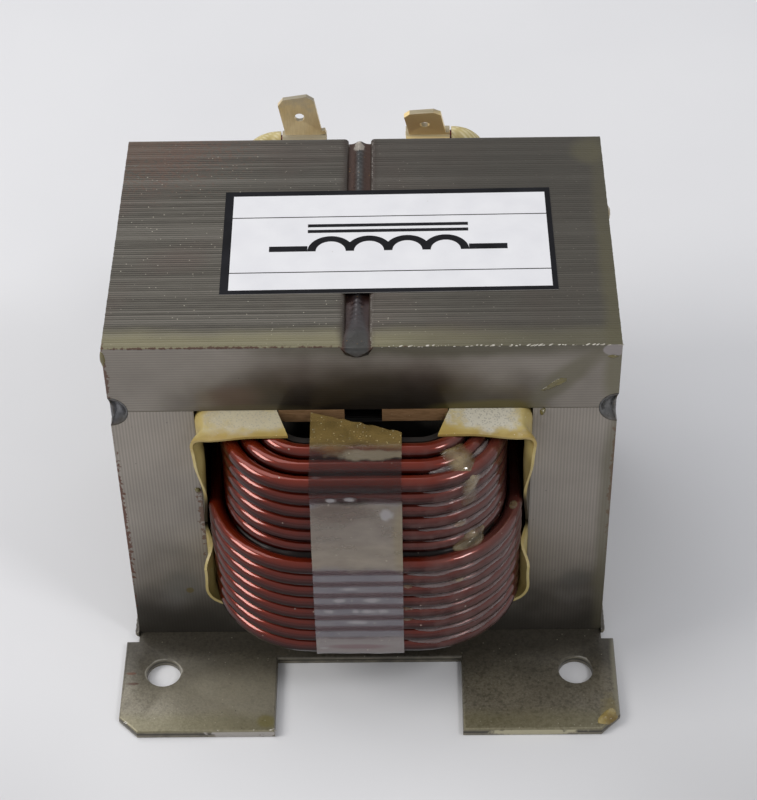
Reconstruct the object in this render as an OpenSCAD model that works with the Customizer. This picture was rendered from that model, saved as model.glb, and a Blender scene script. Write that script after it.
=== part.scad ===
// Iron-core reactor: a welded EI lamination core on a stamped foot plate, with one winding of
// enamelled round wire and two tab terminals at the rear.
// Millimetres, +Z up, front faces -Y, origin at the bottom centre of the foot plate.

/* [Core] */
// Width of an outer leg and of each yoke, the unit of the EI lamination
lam_unit = 13; // [12:0.5:15]
// Depth of the lamination stack, front to rear
stack_depth = 51; // [44:1:60]
// Air gap between the centre leg and the top yoke
air_gap = 2.5; // [1.5:0.1:3.5]
// Radius of the weld notch where the E and I stacks meet
notch_r = 2.9; // [2:0.1:3.5]
// Width of the weld groove along the top yoke
groove_w = 3.6; // [3:0.1:5]
// Depth of the weld groove along the top yoke
groove_depth = 1.6; // [1.2:0.1:2.4]
// Rounding of the groove's upper edges
groove_ease = 0.7; // [0.2:0.1:1]
// Sideways place of the weld groove from the core's middle
groove_x = -0.7; // [-2:0.1:2]

/* [Welds] */
// Radius of the bead along the top groove
top_bead_r = 1.2; // [0.8:0.1:1.4]
// Length of the wider pool at the front end of the top bead
pool_length = 4; // [2:0.5:8]
// How far the pool swells past the front of the stack
pool_swell = 0.55; // [0.2:0.05:1]
// How far the joint beads lie back from the core's side at their middle
joint_bead_dip = 0.5; // [0.2:0.1:1]
// Radius of the crater at the front end of each joint bead
crater_r = 1.9; // [1:0.1:2.4]
// Radius of the seams between the foot plate and the E stack
plate_bead_r = 1.1; // [0.6:0.1:1.4]

/* [Foot plate] */
// Thickness of the foot plate
plate_t = 1.5; // [1.5:0.1:3]
// How far each foot stands out past the core's side
foot_proud = 2; // [1:0.5:6]
// How far the feet reach past the stack, to the front and to the rear
foot_reach = 21.2; // [20:0.1:28]
// Gap between the two feet on one side
foot_gap = 30.6; // [24:0.2:36]
// Depth of the plate's lip past the stack between the feet
lip_reach = 5.8; // [3:0.1:9]
// Distance from the stack to where the feet grow wider than the core
neck_reach = 1.8; // [1.6:0.1:4]
// Cut on the outer corner of each foot
foot_chamfer = 3.2; // [1:0.1:5]
// Diameter of the four fixing holes
hole_d = 5.5; // [4:0.1:6.5]
// Distance of a hole's centre from the side of the foot
hole_from_side = 6.75; // [5.5:0.05:9]
// Distance of a hole's centre from the end of the foot
hole_from_end = 12.45; // [9:0.05:14]

/* [Winding] */
// Diameter of the enamelled wire
wire_d = 2.62; // [2.2:0.01:2.8]
// Spacing of the turns in the full layers
turn_pitch = 2.7; // [2.6:0.01:3]
// Spacing of the layers
layer_pitch = 2.65; // [2.6:0.01:2.9]
// How much lower each layer's top turn lies than the one inside it
layer_drop = 0.78; // [0.4:0.02:1.2]
// Turns in the outermost layer, which is only part filled
outer_turns = 8; // [3:1:12]
// Bend radius of the innermost turns at the corners
bend_r = 7.3; // [6.8:0.1:8.2]
// Distance from the stack to the innermost turns, at the front and the rear
end_room = 7.4; // [7:0.1:10]
// Clearance of the winding at the window's floor
end_clear = 0.4; // [0.2:0.05:1]
// Depth to which varnish fills the valleys between the turns, from the wire's middle
varnish_fill = 0.5; // [0.3:0.05:0.7]

/* [Insulation] */
// Wall of the coil former
former_wall = 1; // [0.6:0.1:1.2]
// Clearance between the former and the centre leg
former_clear = 0.3; // [0.1:0.05:0.4]
// Clearance between the former and the winding
coil_clear = 0.1; // [0.05:0.05:0.3]
// Thickness of the window liners
liner_t = 0.4; // [0.2:0.05:0.45]
// How far the liners stand out past the stack
liner_reach = 5.6; // [3:0.1:6]
// Fold radius of the liners, outside
liner_fold_r = 2; // [1:0.1:2.4]
// Height above the window's floor where the lower liners end
liner_split = 13.5; // [10:0.5:18]
// Width of each gap spacer
spacer_w = 10.1; // [6:0.1:11]
// Rounding of the gap spacers' outer lower edge
spacer_round = 1.2; // [0.4:0.1:1.4]
// Width of the tape over the front of the winding
tape_w = 13.9; // [8:0.1:20]
// Sideways place of the tape from the core's middle
tape_x = -1.1; // [-4:0.1:4]
// Thickness of the tape
tape_t = 0.2; // [0.1:0.05:0.3]
// How much shorter the tape's torn upper end is on the right
tape_tear = 3; // [0:0.5:5]

/* [Terminals] */
// Sideways place of each terminal from the core's middle
terminal_x = 10.7; // [9:0.1:12]
// Width of the tab
tab_w = 6.3; // [4.8:0.1:6.6]
// Thickness of the tab
tab_t = 0.8; // [0.5:0.1:1]
// Length of the tab from its shoulders to its tip
tab_length = 7.8; // [6:0.1:10]
// Diameter of the latch hole in the tab
tab_hole_d = 1.7; // [1.2:0.1:2.2]
// Length of the barrel that is crimped on the wire, which is the tab's width at its shoulders
barrel_length = 7.6; // [7:0.1:9]
// Wall of the barrel
barrel_wall = 0.65; // [0.5:0.05:0.9]
// Height of the left lead over the winding's top turn
left_lead_rise = 2.6; // [2.55:0.05:4]
// Height of the right lead over the winding's top turn
right_lead_rise = 3.3; // [2.55:0.05:4.5]
// Lean of the left tab to the side, degrees
left_tab_side = 9.4; // [0:0.2:12]
// Lean of the right tab to the side, degrees
right_tab_side = 7.5; // [0:0.2:12]
// Lean of the left tab to the front, degrees
left_tab_front = 3; // [0:1:30]
// Lean of the right tab to the front, degrees
right_tab_front = 27; // [0:1:40]
// Wall of the sleeving on the leads
sleeve_wall = 0.55; // [0.3:0.05:0.6]

/* [Label] */
// Width of the label
label_w = 52; // [30:1:60]
// Depth of the label
label_d = 25; // [15:1:30]
// Sideways place of the label's middle
label_x = 4; // [-6:0.5:6]
// Place of the label's middle along the stack
label_y = -0.75; // [-4:0.25:4]
// Turn of the label on the core, degrees
label_turn = 0.5; // [-2:0.5:2]
// Thickness of the label
label_t = 0.15; // [0.05:0.05:0.3]

/* [Hidden] */
$fn = 64;
cut = 1;               // overlap of a cutting tool past the face that it cuts
seat = 0.02;           // room between a weld and the metal that it lies in
slip = 0.05;           // room round the wire inside a sleeve or a barrel

// Core: a scrapless EI lamination, 6 units wide and 5 units high
core_w = 6 * lam_unit;
face_y = stack_depth / 2;
e_height = 4 * lam_unit;
window_w = lam_unit;
window_h = 3 * lam_unit;
floor_z = plate_t + lam_unit;
joint_z = plate_t + e_height;
top_z = joint_z + lam_unit;
window_x = 2 * lam_unit;       // outer wall of a window

// Winding: places of the layers, counted outwards from the corner of the former
wire_r = wire_d / 2;
inner_x = lam_unit + former_clear + former_wall + coil_clear + wire_r;
corner_x = inner_x - bend_r;
corner_y = face_y + end_room - bend_r;
first_z = floor_z + liner_t + end_clear + wire_r;
side_room = 0.3;
layers = floor((window_x - liner_t - side_room - inner_x - wire_r) / layer_pitch) + 1;
full_turns = floor((joint_z - liner_t - first_z - wire_r) / turn_pitch) + 1;
highest_z = first_z + (full_turns - 1) * turn_pitch;
function layer_r(k) = bend_r + k * layer_pitch;
function layer_top(k) = k < layers - 1 ? highest_z - k * layer_drop : first_z + (outer_turns - 1) * wire_d;
function layer_step(k) = k < layers - 1 ? turn_pitch : wire_d;
function layer_count(k) = floor((layer_top(k) - first_z) / layer_step(k) + 0.001) + 1;
inner_y = corner_y + layer_r(0);
outer_y = corner_y + layer_r(layers - 1);

// Leads: the start leaves the innermost layer, the finish leaves the outermost
lead_bend = (outer_y - inner_y) / 2;
lead_straight = 0.6;           // straight length of a lead between its bend and the barrel
lead_turn_x = terminal_x + barrel_length / 2 + lead_straight;
left_lead_z = highest_z + left_lead_rise;
right_lead_z = highest_z + right_lead_rise;
finish_z = layer_top(layers - 1);
bore_r = wire_r + slip;
barrel_r = bore_r + barrel_wall;
sleeve_r = bore_r + sleeve_wall;
sleeve_gap = 0.3;              // room between a sleeve and the barrel
sleeve_arc = 130;              // how far round its bend the left sleeve reaches, degrees
sleeve_tail = 6;               // straight length of the right sleeve below its bend
lead_start = 2.5;              // where the start lead leaves the straight side of its turn
lead_lift = 0.2;               // height of the start lead's foot over the middle of its turn
wire_end = 0.6;                // how far the wire stops short of the barrel's end
tab_corner = 1.1;              // cut on the tip's corners
tab_hole_from_tip = 4.2;
shoulder_h = 1.1;

steel = "#6f6b64";
bright_steel = "#7a746a";
weld_grey = "#4d4d4c";
enamel = "#6a2013";
liner_cream = "#cfc08c";
board_brown = "#6b4d38";
former_dark = "#2b211b";
tape_milk = "#9a948d";
brass = "#b09450";
paper_white = "#e8e8ec";

// Sweeps a section round the former: x is counted outwards from the corner's middle, y is height
module around_former() {
    corners = [[1, 1], [-1, 1], [-1, -1], [1, -1]];
    for (i = [0:3]) {
        turn = 90 * i;
        run = i % 2 == 0 ? corner_y : corner_x;
        out = i % 2 == 0 ? corner_x : corner_y;
        rotate([0, 0, turn]) translate([out, 0, 0]) rotate([90, 0, 0])
            linear_extrude(2 * run, center = true) children();
        translate([corners[i][0] * corner_x, corners[i][1] * corner_y, 0]) rotate([0, 0, turn])
            rotate_extrude(angle = 90) children();
    }
}

// Extrudes a front view, x and height, through the depth of the stack
module through_stack(depth = stack_depth) {
    rotate([90, 0, 0]) linear_extrude(depth, center = true) children();
}

// Outline of a quarter of the foot plate, from the lip round the foot to the core's side
function quarter_plate(sx, sy) = let (side = core_w / 2 + foot_proud, end = face_y + foot_reach)
    [for (p = [[foot_gap / 2, face_y + lip_reach], [foot_gap / 2, end], [side - foot_chamfer, end],
        [side, end - foot_chamfer], [side, face_y + neck_reach], [core_w / 2, face_y + neck_reach]])
        [sx * p[0], sy * p[1]]];
function turned(list) = [for (i = [len(list) - 1:-1:0]) list[i]];

module foot_plate() {
    hole_x = core_w / 2 + foot_proud - hole_from_side;
    hole_y = face_y + foot_reach - hole_from_end;
    color(steel) difference() {
        linear_extrude(plate_t) polygon(concat(quarter_plate(1, 1), turned(quarter_plate(1, -1)),
            quarter_plate(-1, -1), turned(quarter_plate(-1, 1))));
        for (sx = [-1, 1], sy = [-1, 1])
            translate([sx * hole_x, sy * hole_y, -cut]) cylinder(d = hole_d, h = plate_t + 2 * cut);
    }
}

module joint_notches() {
    for (side = [-1, 1]) translate([side * core_w / 2, joint_z]) circle(r = notch_r);
}

module e_stack() {
    color(bright_steel) through_stack() difference() {
        translate([-core_w / 2, plate_t]) square([core_w, e_height]);
        for (x = [-window_x, lam_unit]) translate([x, floor_z]) square([window_w, window_h + cut]);
        translate([-lam_unit - cut, joint_z - air_gap]) square([2 * (lam_unit + cut), air_gap + cut]);
        joint_notches();
    }
}

// Section of the groove in the top yoke, from the top face down, with eased upper edges
module weld_groove() {
    half = groove_w / 2;
    translate([-half, -groove_depth]) square([groove_w, groove_depth + cut]);
    for (side = [0, 1]) mirror([side, 0]) difference() {
        translate([0, -groove_ease]) square([half + groove_ease, groove_ease + cut]);
        translate([half + groove_ease, -groove_ease]) circle(r = groove_ease);
    }
}

module i_stack() {
    color(bright_steel) through_stack() difference() {
        translate([-core_w / 2, joint_z]) square([core_w, lam_unit]);
        translate([groove_x, top_z]) weld_groove();
        joint_notches();
    }
}

// Bead on the floor of the top groove, with a rounder pool of metal at its front end
module top_weld() {
    floor_top = top_z - groove_depth + seat;
    pool_r = groove_w / 2 - seat;
    pool_front = -face_y - pool_swell + pool_r;
    color(weld_grey) intersection() {
        translate([groove_x, 0, floor_top]) {
            rotate([90, 0, 0]) cylinder(r = top_bead_r, h = stack_depth, center = true);
            translate([0, pool_front, 0]) sphere(r = pool_r);
            translate([0, pool_front, 0]) rotate([-90, 0, 0]) cylinder(r = pool_r, h = pool_length);
            translate([0, pool_front + pool_length, 0]) sphere(r = pool_r);
        }
        translate([groove_x - groove_w, -core_w, floor_top]) cube([2 * groove_w, 2 * core_w, groove_depth]);
    }
}

// Bead that fills a joint notch, hollow along its outside and with a crater in front
module joint_weld(side) {
    dish_r = 3 * notch_r;
    bead_r = notch_r - seat;
    dish_x = core_w / 2 - joint_bead_dip + dish_r;
    color(weld_grey) difference() {
        intersection() {
            translate([side * core_w / 2, 0, joint_z]) rotate([90, 0, 0])
                cylinder(r = bead_r, h = stack_depth, center = true);
            translate([-core_w / 2, -face_y, joint_z - notch_r]) cube([core_w, stack_depth, 2 * notch_r]);
        }
        translate([side * dish_x, 0, joint_z]) rotate([90, 0, 0])
            cylinder(r = dish_r, h = stack_depth + 2 * cut, center = true);
        translate([side * (core_w / 2 - notch_r / 2), -face_y - crater_r / 2, joint_z]) sphere(r = crater_r);
    }
}

module left_joint_weld() {
    joint_weld(-1);
}

module right_joint_weld() {
    joint_weld(1);
}

// Seam along the corner between the foot plate's edge and the E stack's side
module plate_weld(side) {
    color(weld_grey) intersection() {
        translate([side * core_w / 2, 0, plate_t]) {
            rotate([90, 0, 0]) cylinder(r = plate_bead_r, h = stack_depth, center = true);
            for (end = [-1, 1]) translate([0, end * face_y, 0]) sphere(r = plate_bead_r);
        }
        translate([side > 0 ? core_w / 2 : -core_w / 2 - foot_proud, -face_y - neck_reach, 0])
            cube([foot_proud, stack_depth + 2 * neck_reach, lam_unit]);
    }
}

module left_plate_weld() {
    plate_weld(-1);
}

module right_plate_weld() {
    plate_weld(1);
}

// Board strip in the air gap, flush with the centre leg's side
module gap_spacer() {
    color(board_brown) through_stack() difference() {
        translate([lam_unit - spacer_w, joint_z - air_gap]) square([spacer_w, air_gap]);
        translate([lam_unit - spacer_round, joint_z - air_gap]) difference() {
            translate([0, -cut]) square([spacer_round + cut, spacer_round + cut]);
            translate([0, spacer_round]) circle(r = spacer_round);
        }
    }
}

module left_gap_spacer() {
    mirror([1, 0, 0]) gap_spacer();
}

module right_gap_spacer() {
    gap_spacer();
}

module coil_former() {
    outside = bend_r - wire_r - coil_clear;
    low = floor_z + liner_t + slip;
    high = highest_z + wire_r / 2;
    color(former_dark) around_former()
        translate([outside - former_wall, low]) square([former_wall, high - low]);
}

// Section through all the layers: the wires, and the varnish that bonds them
module winding_section() {
    for (k = [0:layers - 1]) {
        count = layer_count(k);
        low = layer_top(k) - (count - 1) * layer_step(k);
        for (turn = [0:count - 1]) translate([layer_r(k), low + turn * layer_step(k)]) circle(d = wire_d);
        inside = k == 0 ? wire_r + coil_clear / 2 : layer_pitch;
        translate([layer_r(k) - inside, low]) square([inside + varnish_fill, layer_top(k) - low]);
    }
}

module wire_run(length) {
    cylinder(d = wire_d, h = length);
}

module bend(angle, radius) {
    rotate_extrude(angle = angle) translate([radius, 0]) children();
}

// Start of the wire: it climbs off the innermost layer and turns back towards its terminal
module start_lead() {
    off_z = highest_z + lead_lift;
    climb = left_lead_z - off_z;
    along = lead_turn_x - corner_x + lead_start;
    translate([lead_start - corner_x, inner_y, off_z]) rotate([0, -atan2(along, climb), 0])
        wire_run(norm([climb, along]));
    translate([-lead_turn_x, inner_y, left_lead_z]) sphere(r = wire_r + seat);
    translate([-lead_turn_x, inner_y + lead_bend, left_lead_z]) rotate([0, 0, 90])
        bend(180, lead_bend) circle(d = wire_d);
    translate([-lead_turn_x, outer_y, left_lead_z]) rotate([0, 90, 0])
        wire_run(lead_straight + barrel_length - wire_end);
}

// Finish of the wire: it leaves the outermost layer, stands up and turns back to its terminal
module finish_lead() {
    rise = right_lead_z - finish_z - 2 * lead_bend;
    translate([corner_x, outer_y, finish_z]) rotate([0, 90, 0]) wire_run(lead_turn_x - corner_x);
    translate([lead_turn_x, outer_y, finish_z + lead_bend]) rotate([90, 0, 0]) rotate([0, 0, -90])
        bend(90, lead_bend) circle(d = wire_d);
    translate([lead_turn_x + lead_bend, outer_y, finish_z + lead_bend]) wire_run(rise);
    translate([lead_turn_x, outer_y, right_lead_z - lead_bend]) rotate([90, 0, 0])
        bend(90, lead_bend) circle(d = wire_d);
    translate([lead_turn_x, outer_y, right_lead_z]) rotate([0, -90, 0])
        wire_run(lead_straight + barrel_length - wire_end);
}

module winding() {
    color(enamel) {
        around_former() winding_section();
        start_lead();
        finish_lead();
    }
}

module ring(outer, inner) {
    difference() {
        circle(r = outer);
        circle(r = inner);
    }
}

module left_lead_sleeve() {
    color(liner_cream) {
        translate([-lead_turn_x, inner_y + lead_bend, left_lead_z]) rotate([0, 0, 90])
            bend(sleeve_arc, lead_bend) ring(sleeve_r, bore_r);
        translate([-lead_turn_x, outer_y, left_lead_z]) rotate([0, 90, 0])
            linear_extrude(lead_straight - sleeve_gap) ring(sleeve_r, bore_r);
    }
}

module right_lead_sleeve() {
    color(liner_cream) {
        translate([lead_turn_x + lead_bend, outer_y, right_lead_z - lead_bend - sleeve_tail])
            linear_extrude(sleeve_tail) ring(sleeve_r, bore_r);
        translate([lead_turn_x, outer_y, right_lead_z - lead_bend]) rotate([90, 0, 0])
            bend(90, lead_bend) ring(sleeve_r, bore_r);
        translate([lead_turn_x, outer_y, right_lead_z]) rotate([0, -90, 0])
            linear_extrude(lead_straight - sleeve_gap) ring(sleeve_r, bore_r);
    }
}

// Tab outline: x across, y up from the middle of the barrel
module tab_outline() {
    root = bore_r + barrel_wall / 4;
    neck = barrel_r + shoulder_h / 4;
    tip = neck + tab_length;
    difference() {
        union() {
            translate([-barrel_length / 2, root]) square([barrel_length, neck - root]);
            polygon([[-tab_w / 2, root], [tab_w / 2, root], [tab_w / 2, tip - tab_corner],
                [tab_w / 2 - tab_corner, tip], [tab_corner - tab_w / 2, tip],
                [-tab_w / 2, tip - tab_corner]]);
        }
        translate([0, tip - tab_hole_from_tip]) circle(d = tab_hole_d);
    }
}

// Tab terminal: a barrel crimped round the wire and a tab that stands up from it
module terminal(x, z, lean_side, lean_front) {
    root = bore_r + barrel_wall / 2;
    color(brass) translate([x, outer_y, z]) difference() {
        union() {
            rotate([0, 90, 0]) cylinder(r = barrel_r, h = barrel_length, center = true);
            rotate([lean_front, 0, 0]) translate([0, 0, root]) rotate([0, -lean_side, 0])
                translate([0, 0, -root]) rotate([90, 0, 0])
                linear_extrude(tab_t, center = true) tab_outline();
        }
        rotate([0, 90, 0]) cylinder(r = bore_r, h = barrel_length + 2 * cut, center = true);
    }
}

module left_terminal() {
    terminal(-terminal_x, left_lead_z, left_tab_side, left_tab_front);
}

module right_terminal() {
    terminal(terminal_x, right_lead_z, right_tab_side, right_tab_front);
}

// Front view of a sheet folded once: along the yoke from x = from, round a fold and along the leg
module folded_sheet(from, z_flat, z_end) {
    up = z_end > z_flat ? 1 : -1;
    fold_x = window_x - liner_fold_r;
    translate([0, z_flat]) scale([1, 1]) mirror([0, up > 0 ? 0 : 1]) {
        translate([from, 0]) square([fold_x - from, liner_t]);
        translate([window_x - liner_t, liner_fold_r]) square([liner_t, abs(z_end - z_flat) - liner_fold_r]);
        translate([fold_x, liner_fold_r]) intersection() {
            ring(liner_fold_r, liner_fold_r - liner_t);
            translate([0, -liner_fold_r]) square(liner_fold_r);
        }
    }
}

// Outline of a liner's flat part, seen from above: it flares past the window's inner corner
module liner_plan() {
    reach = face_y + liner_reach;
    flare = liner_reach / 3;
    inner = lam_unit + liner_t / 2;
    polygon([[inner - flare, -reach], [window_x + cut, -reach], [window_x + cut, reach],
        [inner - flare, reach], [inner, face_y], [inner, -face_y]]);
}

module upper_liner() {
    reach = face_y + liner_reach;
    split = floor_z + liner_split + liner_t;
    taper_top = joint_z - lam_unit / 2;
    color(liner_cream) intersection() {
        through_stack(2 * reach) folded_sheet(lam_unit - liner_reach, joint_z, split);
        translate([0, 0, floor_z]) linear_extrude(window_h) liner_plan();
        rotate([90, 0, 90]) linear_extrude(window_x + cut)
            polygon([[-reach, joint_z], [-reach, taper_top], [-face_y, split], [face_y, split],
                [reach, taper_top], [reach, joint_z]]);
    }
}

module lower_liner() {
    reach = face_y + liner_reach;
    split = floor_z + liner_split;
    corner = liner_reach * 0.8;
    color(liner_cream) intersection() {
        through_stack(2 * reach) folded_sheet(lam_unit + liner_t / 2, floor_z, split);
        rotate([90, 0, 90]) linear_extrude(window_x + cut)
            polygon([[-reach + liner_t, floor_z], [-reach, split - corner], [-reach + corner, split],
                [reach - corner, split], [reach, split - corner], [reach - liner_t, floor_z]]);
    }
}

module left_upper_liner() {
    mirror([1, 0, 0]) upper_liner();
}

module right_upper_liner() {
    upper_liner();
}

module left_lower_liner() {
    mirror([1, 0, 0]) lower_liner();
}

module right_lower_liner() {
    lower_liner();
}

// Outline of a strip of thickness t that lies to the left of a path
function unit(v) = v / norm(v);
function left_of(a, b) = let (d = unit(b - a)) [-d[1], d[0]];
function beside(path, t) = let (last = len(path) - 1) [for (i = [0:last])
    let (before = left_of(path[max(i - 1, 0)], path[max(i, 1)]),
        after = left_of(path[min(i, last - 1)], path[min(i + 1, last)]),
        n = before + after)
    path[i] + 2 * t * n / (n * n)];
function strip(path, t) = let (outer = beside(path, t), last = len(path) - 1)
    concat(path, [for (i = [0:last]) outer[last - i]]);

// Tape stretched over the front of the winding, from the gap spacers to the underside
module coil_tape() {
    r = wire_r + 2 * slip;
    slope = r * sin(45);
    last = layers - 1;
    step_y = corner_y + layer_r(last - 1);
    step_z = layer_top(last - 1);
    path = [[-face_y - slip, joint_z - air_gap / 2], [-inner_y, highest_z + r],
        [-step_y - r, step_z + slope], [-outer_y - r, finish_z + slope], [-outer_y - r, first_z - slope],
        [-outer_y - slope, first_z - r], [-step_y, first_z - r]];
    near = -outer_y - 2 * wire_d;
    color(tape_milk) translate([tape_x - tape_w / 2, 0, 0]) intersection() {
        rotate([90, 0, 90]) linear_extrude(tape_w) polygon(strip(path, -tape_t));
        linear_extrude(top_z) polygon([[-cut, near], [tape_w + cut, near],
            [tape_w + cut, -face_y - tape_tear], [-cut, -face_y]]);
    }
}

module label() {
    color(paper_white) translate([label_x, label_y, top_z]) rotate([0, 0, label_turn])
        linear_extrude(label_t) square([label_w, label_d], center = true);
}

foot_plate();
e_stack();
i_stack();
top_weld();
left_joint_weld();
right_joint_weld();
left_plate_weld();
right_plate_weld();
left_gap_spacer();
right_gap_spacer();
coil_former();
winding();
left_upper_liner();
right_upper_liner();
left_lower_liner();
right_lower_liner();
coil_tape();
left_lead_sleeve();
right_lead_sleeve();
left_terminal();
right_terminal();
label();
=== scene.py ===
# %% [markdown]
# # Dressing a varnished iron-core reactor
# The solids of this reactor come from its CAD model: a welded core of steel sheets on a foot plate,
# and a coil of red enamelled wire. This lesson gives every surface its finish, and swaps the plain
# solids for finer meshes where the real thing has more to show: the sheets of the core, the turns
# of wire, the weld beads, the folded paper, the tape and the varnish that holds it all together.
# Blender works in metres here, so a size in millimetres is multiplied by MM.

# %% Load the frame
import bpy
import bmesh
import math
from mathutils import Matrix, Vector, noise


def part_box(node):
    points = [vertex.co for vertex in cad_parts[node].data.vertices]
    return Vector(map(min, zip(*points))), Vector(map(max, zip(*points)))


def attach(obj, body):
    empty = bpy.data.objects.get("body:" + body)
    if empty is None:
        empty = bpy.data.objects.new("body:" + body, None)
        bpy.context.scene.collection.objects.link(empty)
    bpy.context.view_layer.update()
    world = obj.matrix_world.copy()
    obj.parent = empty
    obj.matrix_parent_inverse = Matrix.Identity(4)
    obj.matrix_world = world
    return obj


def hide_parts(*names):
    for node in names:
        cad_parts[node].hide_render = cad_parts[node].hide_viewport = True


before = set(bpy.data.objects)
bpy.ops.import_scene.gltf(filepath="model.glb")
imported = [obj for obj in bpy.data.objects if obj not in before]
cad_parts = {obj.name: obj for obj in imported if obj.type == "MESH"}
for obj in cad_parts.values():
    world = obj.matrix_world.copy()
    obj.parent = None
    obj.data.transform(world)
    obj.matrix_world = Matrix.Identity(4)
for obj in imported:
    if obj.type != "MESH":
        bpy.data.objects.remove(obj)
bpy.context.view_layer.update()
scene = bpy.context.scene
scene.view_settings.view_transform = "Standard"
MM = 0.001

# %% [markdown]
# ## Helpers for node trees
# Materials and geometry trees are both graphs of nodes. One function adds a node, sets it and links
# it, so that each line below reads as one step. Colours are written as the sRGB hex values that a
# paint program shows, and turned to the linear values that Blender calculates with.

# %% Colour and node helpers
def linear(hex_colour):
    channels = [int(hex_colour[i:i + 2], 16) / 255 for i in (1, 3, 5)]
    return [c / 12.92 if c <= 0.04045 else ((c + 0.055) / 1.055) ** 2.4 for c in channels] + [1.0]


def link(tree, made, inputs):
    """Fills inputs: with values, hex colours, sockets, or nodes, whose first live output is used."""
    for name, value in inputs.items():
        if isinstance(value, str) and value.startswith("#"):
            value = linear(value)
        if isinstance(value, bpy.types.Node):
            value = next(out for out in value.outputs if out.enabled)
        if isinstance(value, bpy.types.NodeSocket):
            tree.links.new(value, made.inputs[name])
        else:
            made.inputs[name].default_value = value


def node(tree, kind, inputs=None, **settings):
    made = tree.nodes.new(kind)
    for name, value in settings.items():
        setattr(made, name, value)
    link(tree, made, inputs or {})
    return made


# %% [markdown]
# ## Helpers for finishes
# Every finish is painted the same way: a base colour, then layers, each with a mask that says where
# it lies. A mask can be a grain (noise of a known size), a stain (a soft, ragged patch at a known
# place), or specks (dots of dust). All of them read Object coordinates, turned to millimetres.

# %% Finish helpers
def new_finish(name, **sockets):
    """A material, its tree, its shader with the values that hold all over, and its place in mm."""
    material = bpy.data.materials.new(name)
    material.use_nodes = True
    tree = material.node_tree
    shader = tree.nodes["Principled BSDF"]
    link(tree, shader, {key.replace("_", " "): value for key, value in sockets.items()})
    print("finish:", name)
    coords = node(tree, "ShaderNodeTexCoord")
    place = node(tree, "ShaderNodeVectorMath",
                 {0: coords.outputs["Object"], "Scale": 1 / MM}, operation="SCALE")
    return material, tree, shader, place


def painted(tree, colour, *layers):
    """Lays tints over a colour in turn: each layer is a mask and a tint."""
    for mask, tint in layers:
        colour = node(tree, "ShaderNodeMix", {0: mask, 6: colour, 7: tint}, data_type="RGBA")
    return colour


def grain(tree, place, size, low=0.0, high=1.0, stretch=(1, 1, 1), detail=4.0):
    """Noise with features of about size mm, spread over low..high. A stretch above 1 makes it finer."""
    # The noise itself seldom leaves 0.3 to 0.7
    mapped = node(tree, "ShaderNodeMapping", {0: place, "Scale": [s / size for s in stretch]})
    cloud = node(tree, "ShaderNodeTexNoise", {"Vector": mapped, "Scale": 1.0, "Detail": detail})
    return node(tree, "ShaderNodeMapRange", {0: cloud, 1: 0.3, 2: 0.7, 3: low, 4: high})


ALL = 400.0  # a half-size in mm that takes in the whole part
ONE_BAND = math.pi / 10  # the scale at which a Wave texture draws one band to a millimetre


def stain(tree, place, ragged, centre, reach, amount=1.0, soft=0.4, turn=0.0):
    """A patch with a ragged edge: an ellipsoid of half-sizes reach, turned about Y by degrees."""
    local = node(tree, "ShaderNodeMapping", {0: place, "Location": centre, "Scale": reach,
                                             "Rotation": (0, math.radians(turn), 0)}, vector_type="TEXTURE")
    # Where ragged is 0.5, the edge lies on the ellipsoid itself: 1 + 0.8 * 0.5 = 1.4
    away = node(tree, "ShaderNodeVectorMath", {0: local}, operation="LENGTH")
    uneven = node(tree, "ShaderNodeMath", {0: ragged, 1: 0.8, 2: away}, operation="MULTIPLY_ADD")
    return node(tree, "ShaderNodeMapRange", {0: uneven, 1: 1.4 - soft, 2: 1.4 + soft, 3: amount, 4: 0.0},
                interpolation_type="SMOOTHSTEP")


def stained(tree, place, ragged, colour, stains):
    """Lays stains over a colour: centre, half-sizes, tint, amount, and softness and turn if they matter."""
    for centre, reach, tint, amount, *shape in stains:
        colour = painted(tree, colour, (stain(tree, place, ragged, centre, reach, amount, *shape), tint))
    return colour


def specks(tree, place, spacing, radius, share, amount):
    """Dots of a radius in mm, in that share of cells that are spacing mm apart."""
    cells = node(tree, "ShaderNodeTexVoronoi", {"Vector": place, "Scale": 1 / spacing})
    chance = node(tree, "ShaderNodeSeparateColor", {0: cells.outputs["Color"]})
    chosen = node(tree, "ShaderNodeMath", {0: chance.outputs[0], 1: share}, operation="LESS_THAN")
    near = node(tree, "ShaderNodeMapRange", {0: cells.outputs["Distance"], 1: radius / spacing * 0.5,
                                             2: radius / spacing, 3: amount, 4: 0.0})
    return node(tree, "ShaderNodeMath", {0: near, 1: chosen}, operation="MULTIPLY")


def facing(tree, axis):
    """How far the surface faces along an axis, 0 to 1, either way."""
    normal = tree.nodes["Texture Coordinate"].outputs["Normal"]
    parts = node(tree, "ShaderNodeSeparateXYZ", {0: normal})
    return node(tree, "ShaderNodeMath", {0: parts.outputs[axis]}, operation="ABSOLUTE")


# %% [markdown]
# ## Helpers for meshes and geometry trees
# A geometry tree is built once with named inputs, put on an object as a modifier, and turned into a
# plain mesh, because a part that leaves this file can't carry the tree with it. Each tree ends by
# making its copies real and giving them their finish.

# %% Tree helpers
def new_tree(name, **inputs):
    """A geometry tree with named inputs, and a Finish for the material of what it makes."""
    tree = bpy.data.node_groups.new(name, "GeometryNodeTree")
    tree.interface.new_socket("Geometry", in_out="INPUT", socket_type="NodeSocketGeometry")
    for label, kind in {**inputs, "Finish": "Material"}.items():
        tree.interface.new_socket(label.replace("_", " "), in_out="INPUT", socket_type="NodeSocket" + kind)
    tree.interface.new_socket("Geometry", in_out="OUTPUT", socket_type="NodeSocketGeometry")
    return tree, node(tree, "NodeGroupInput").outputs


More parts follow.
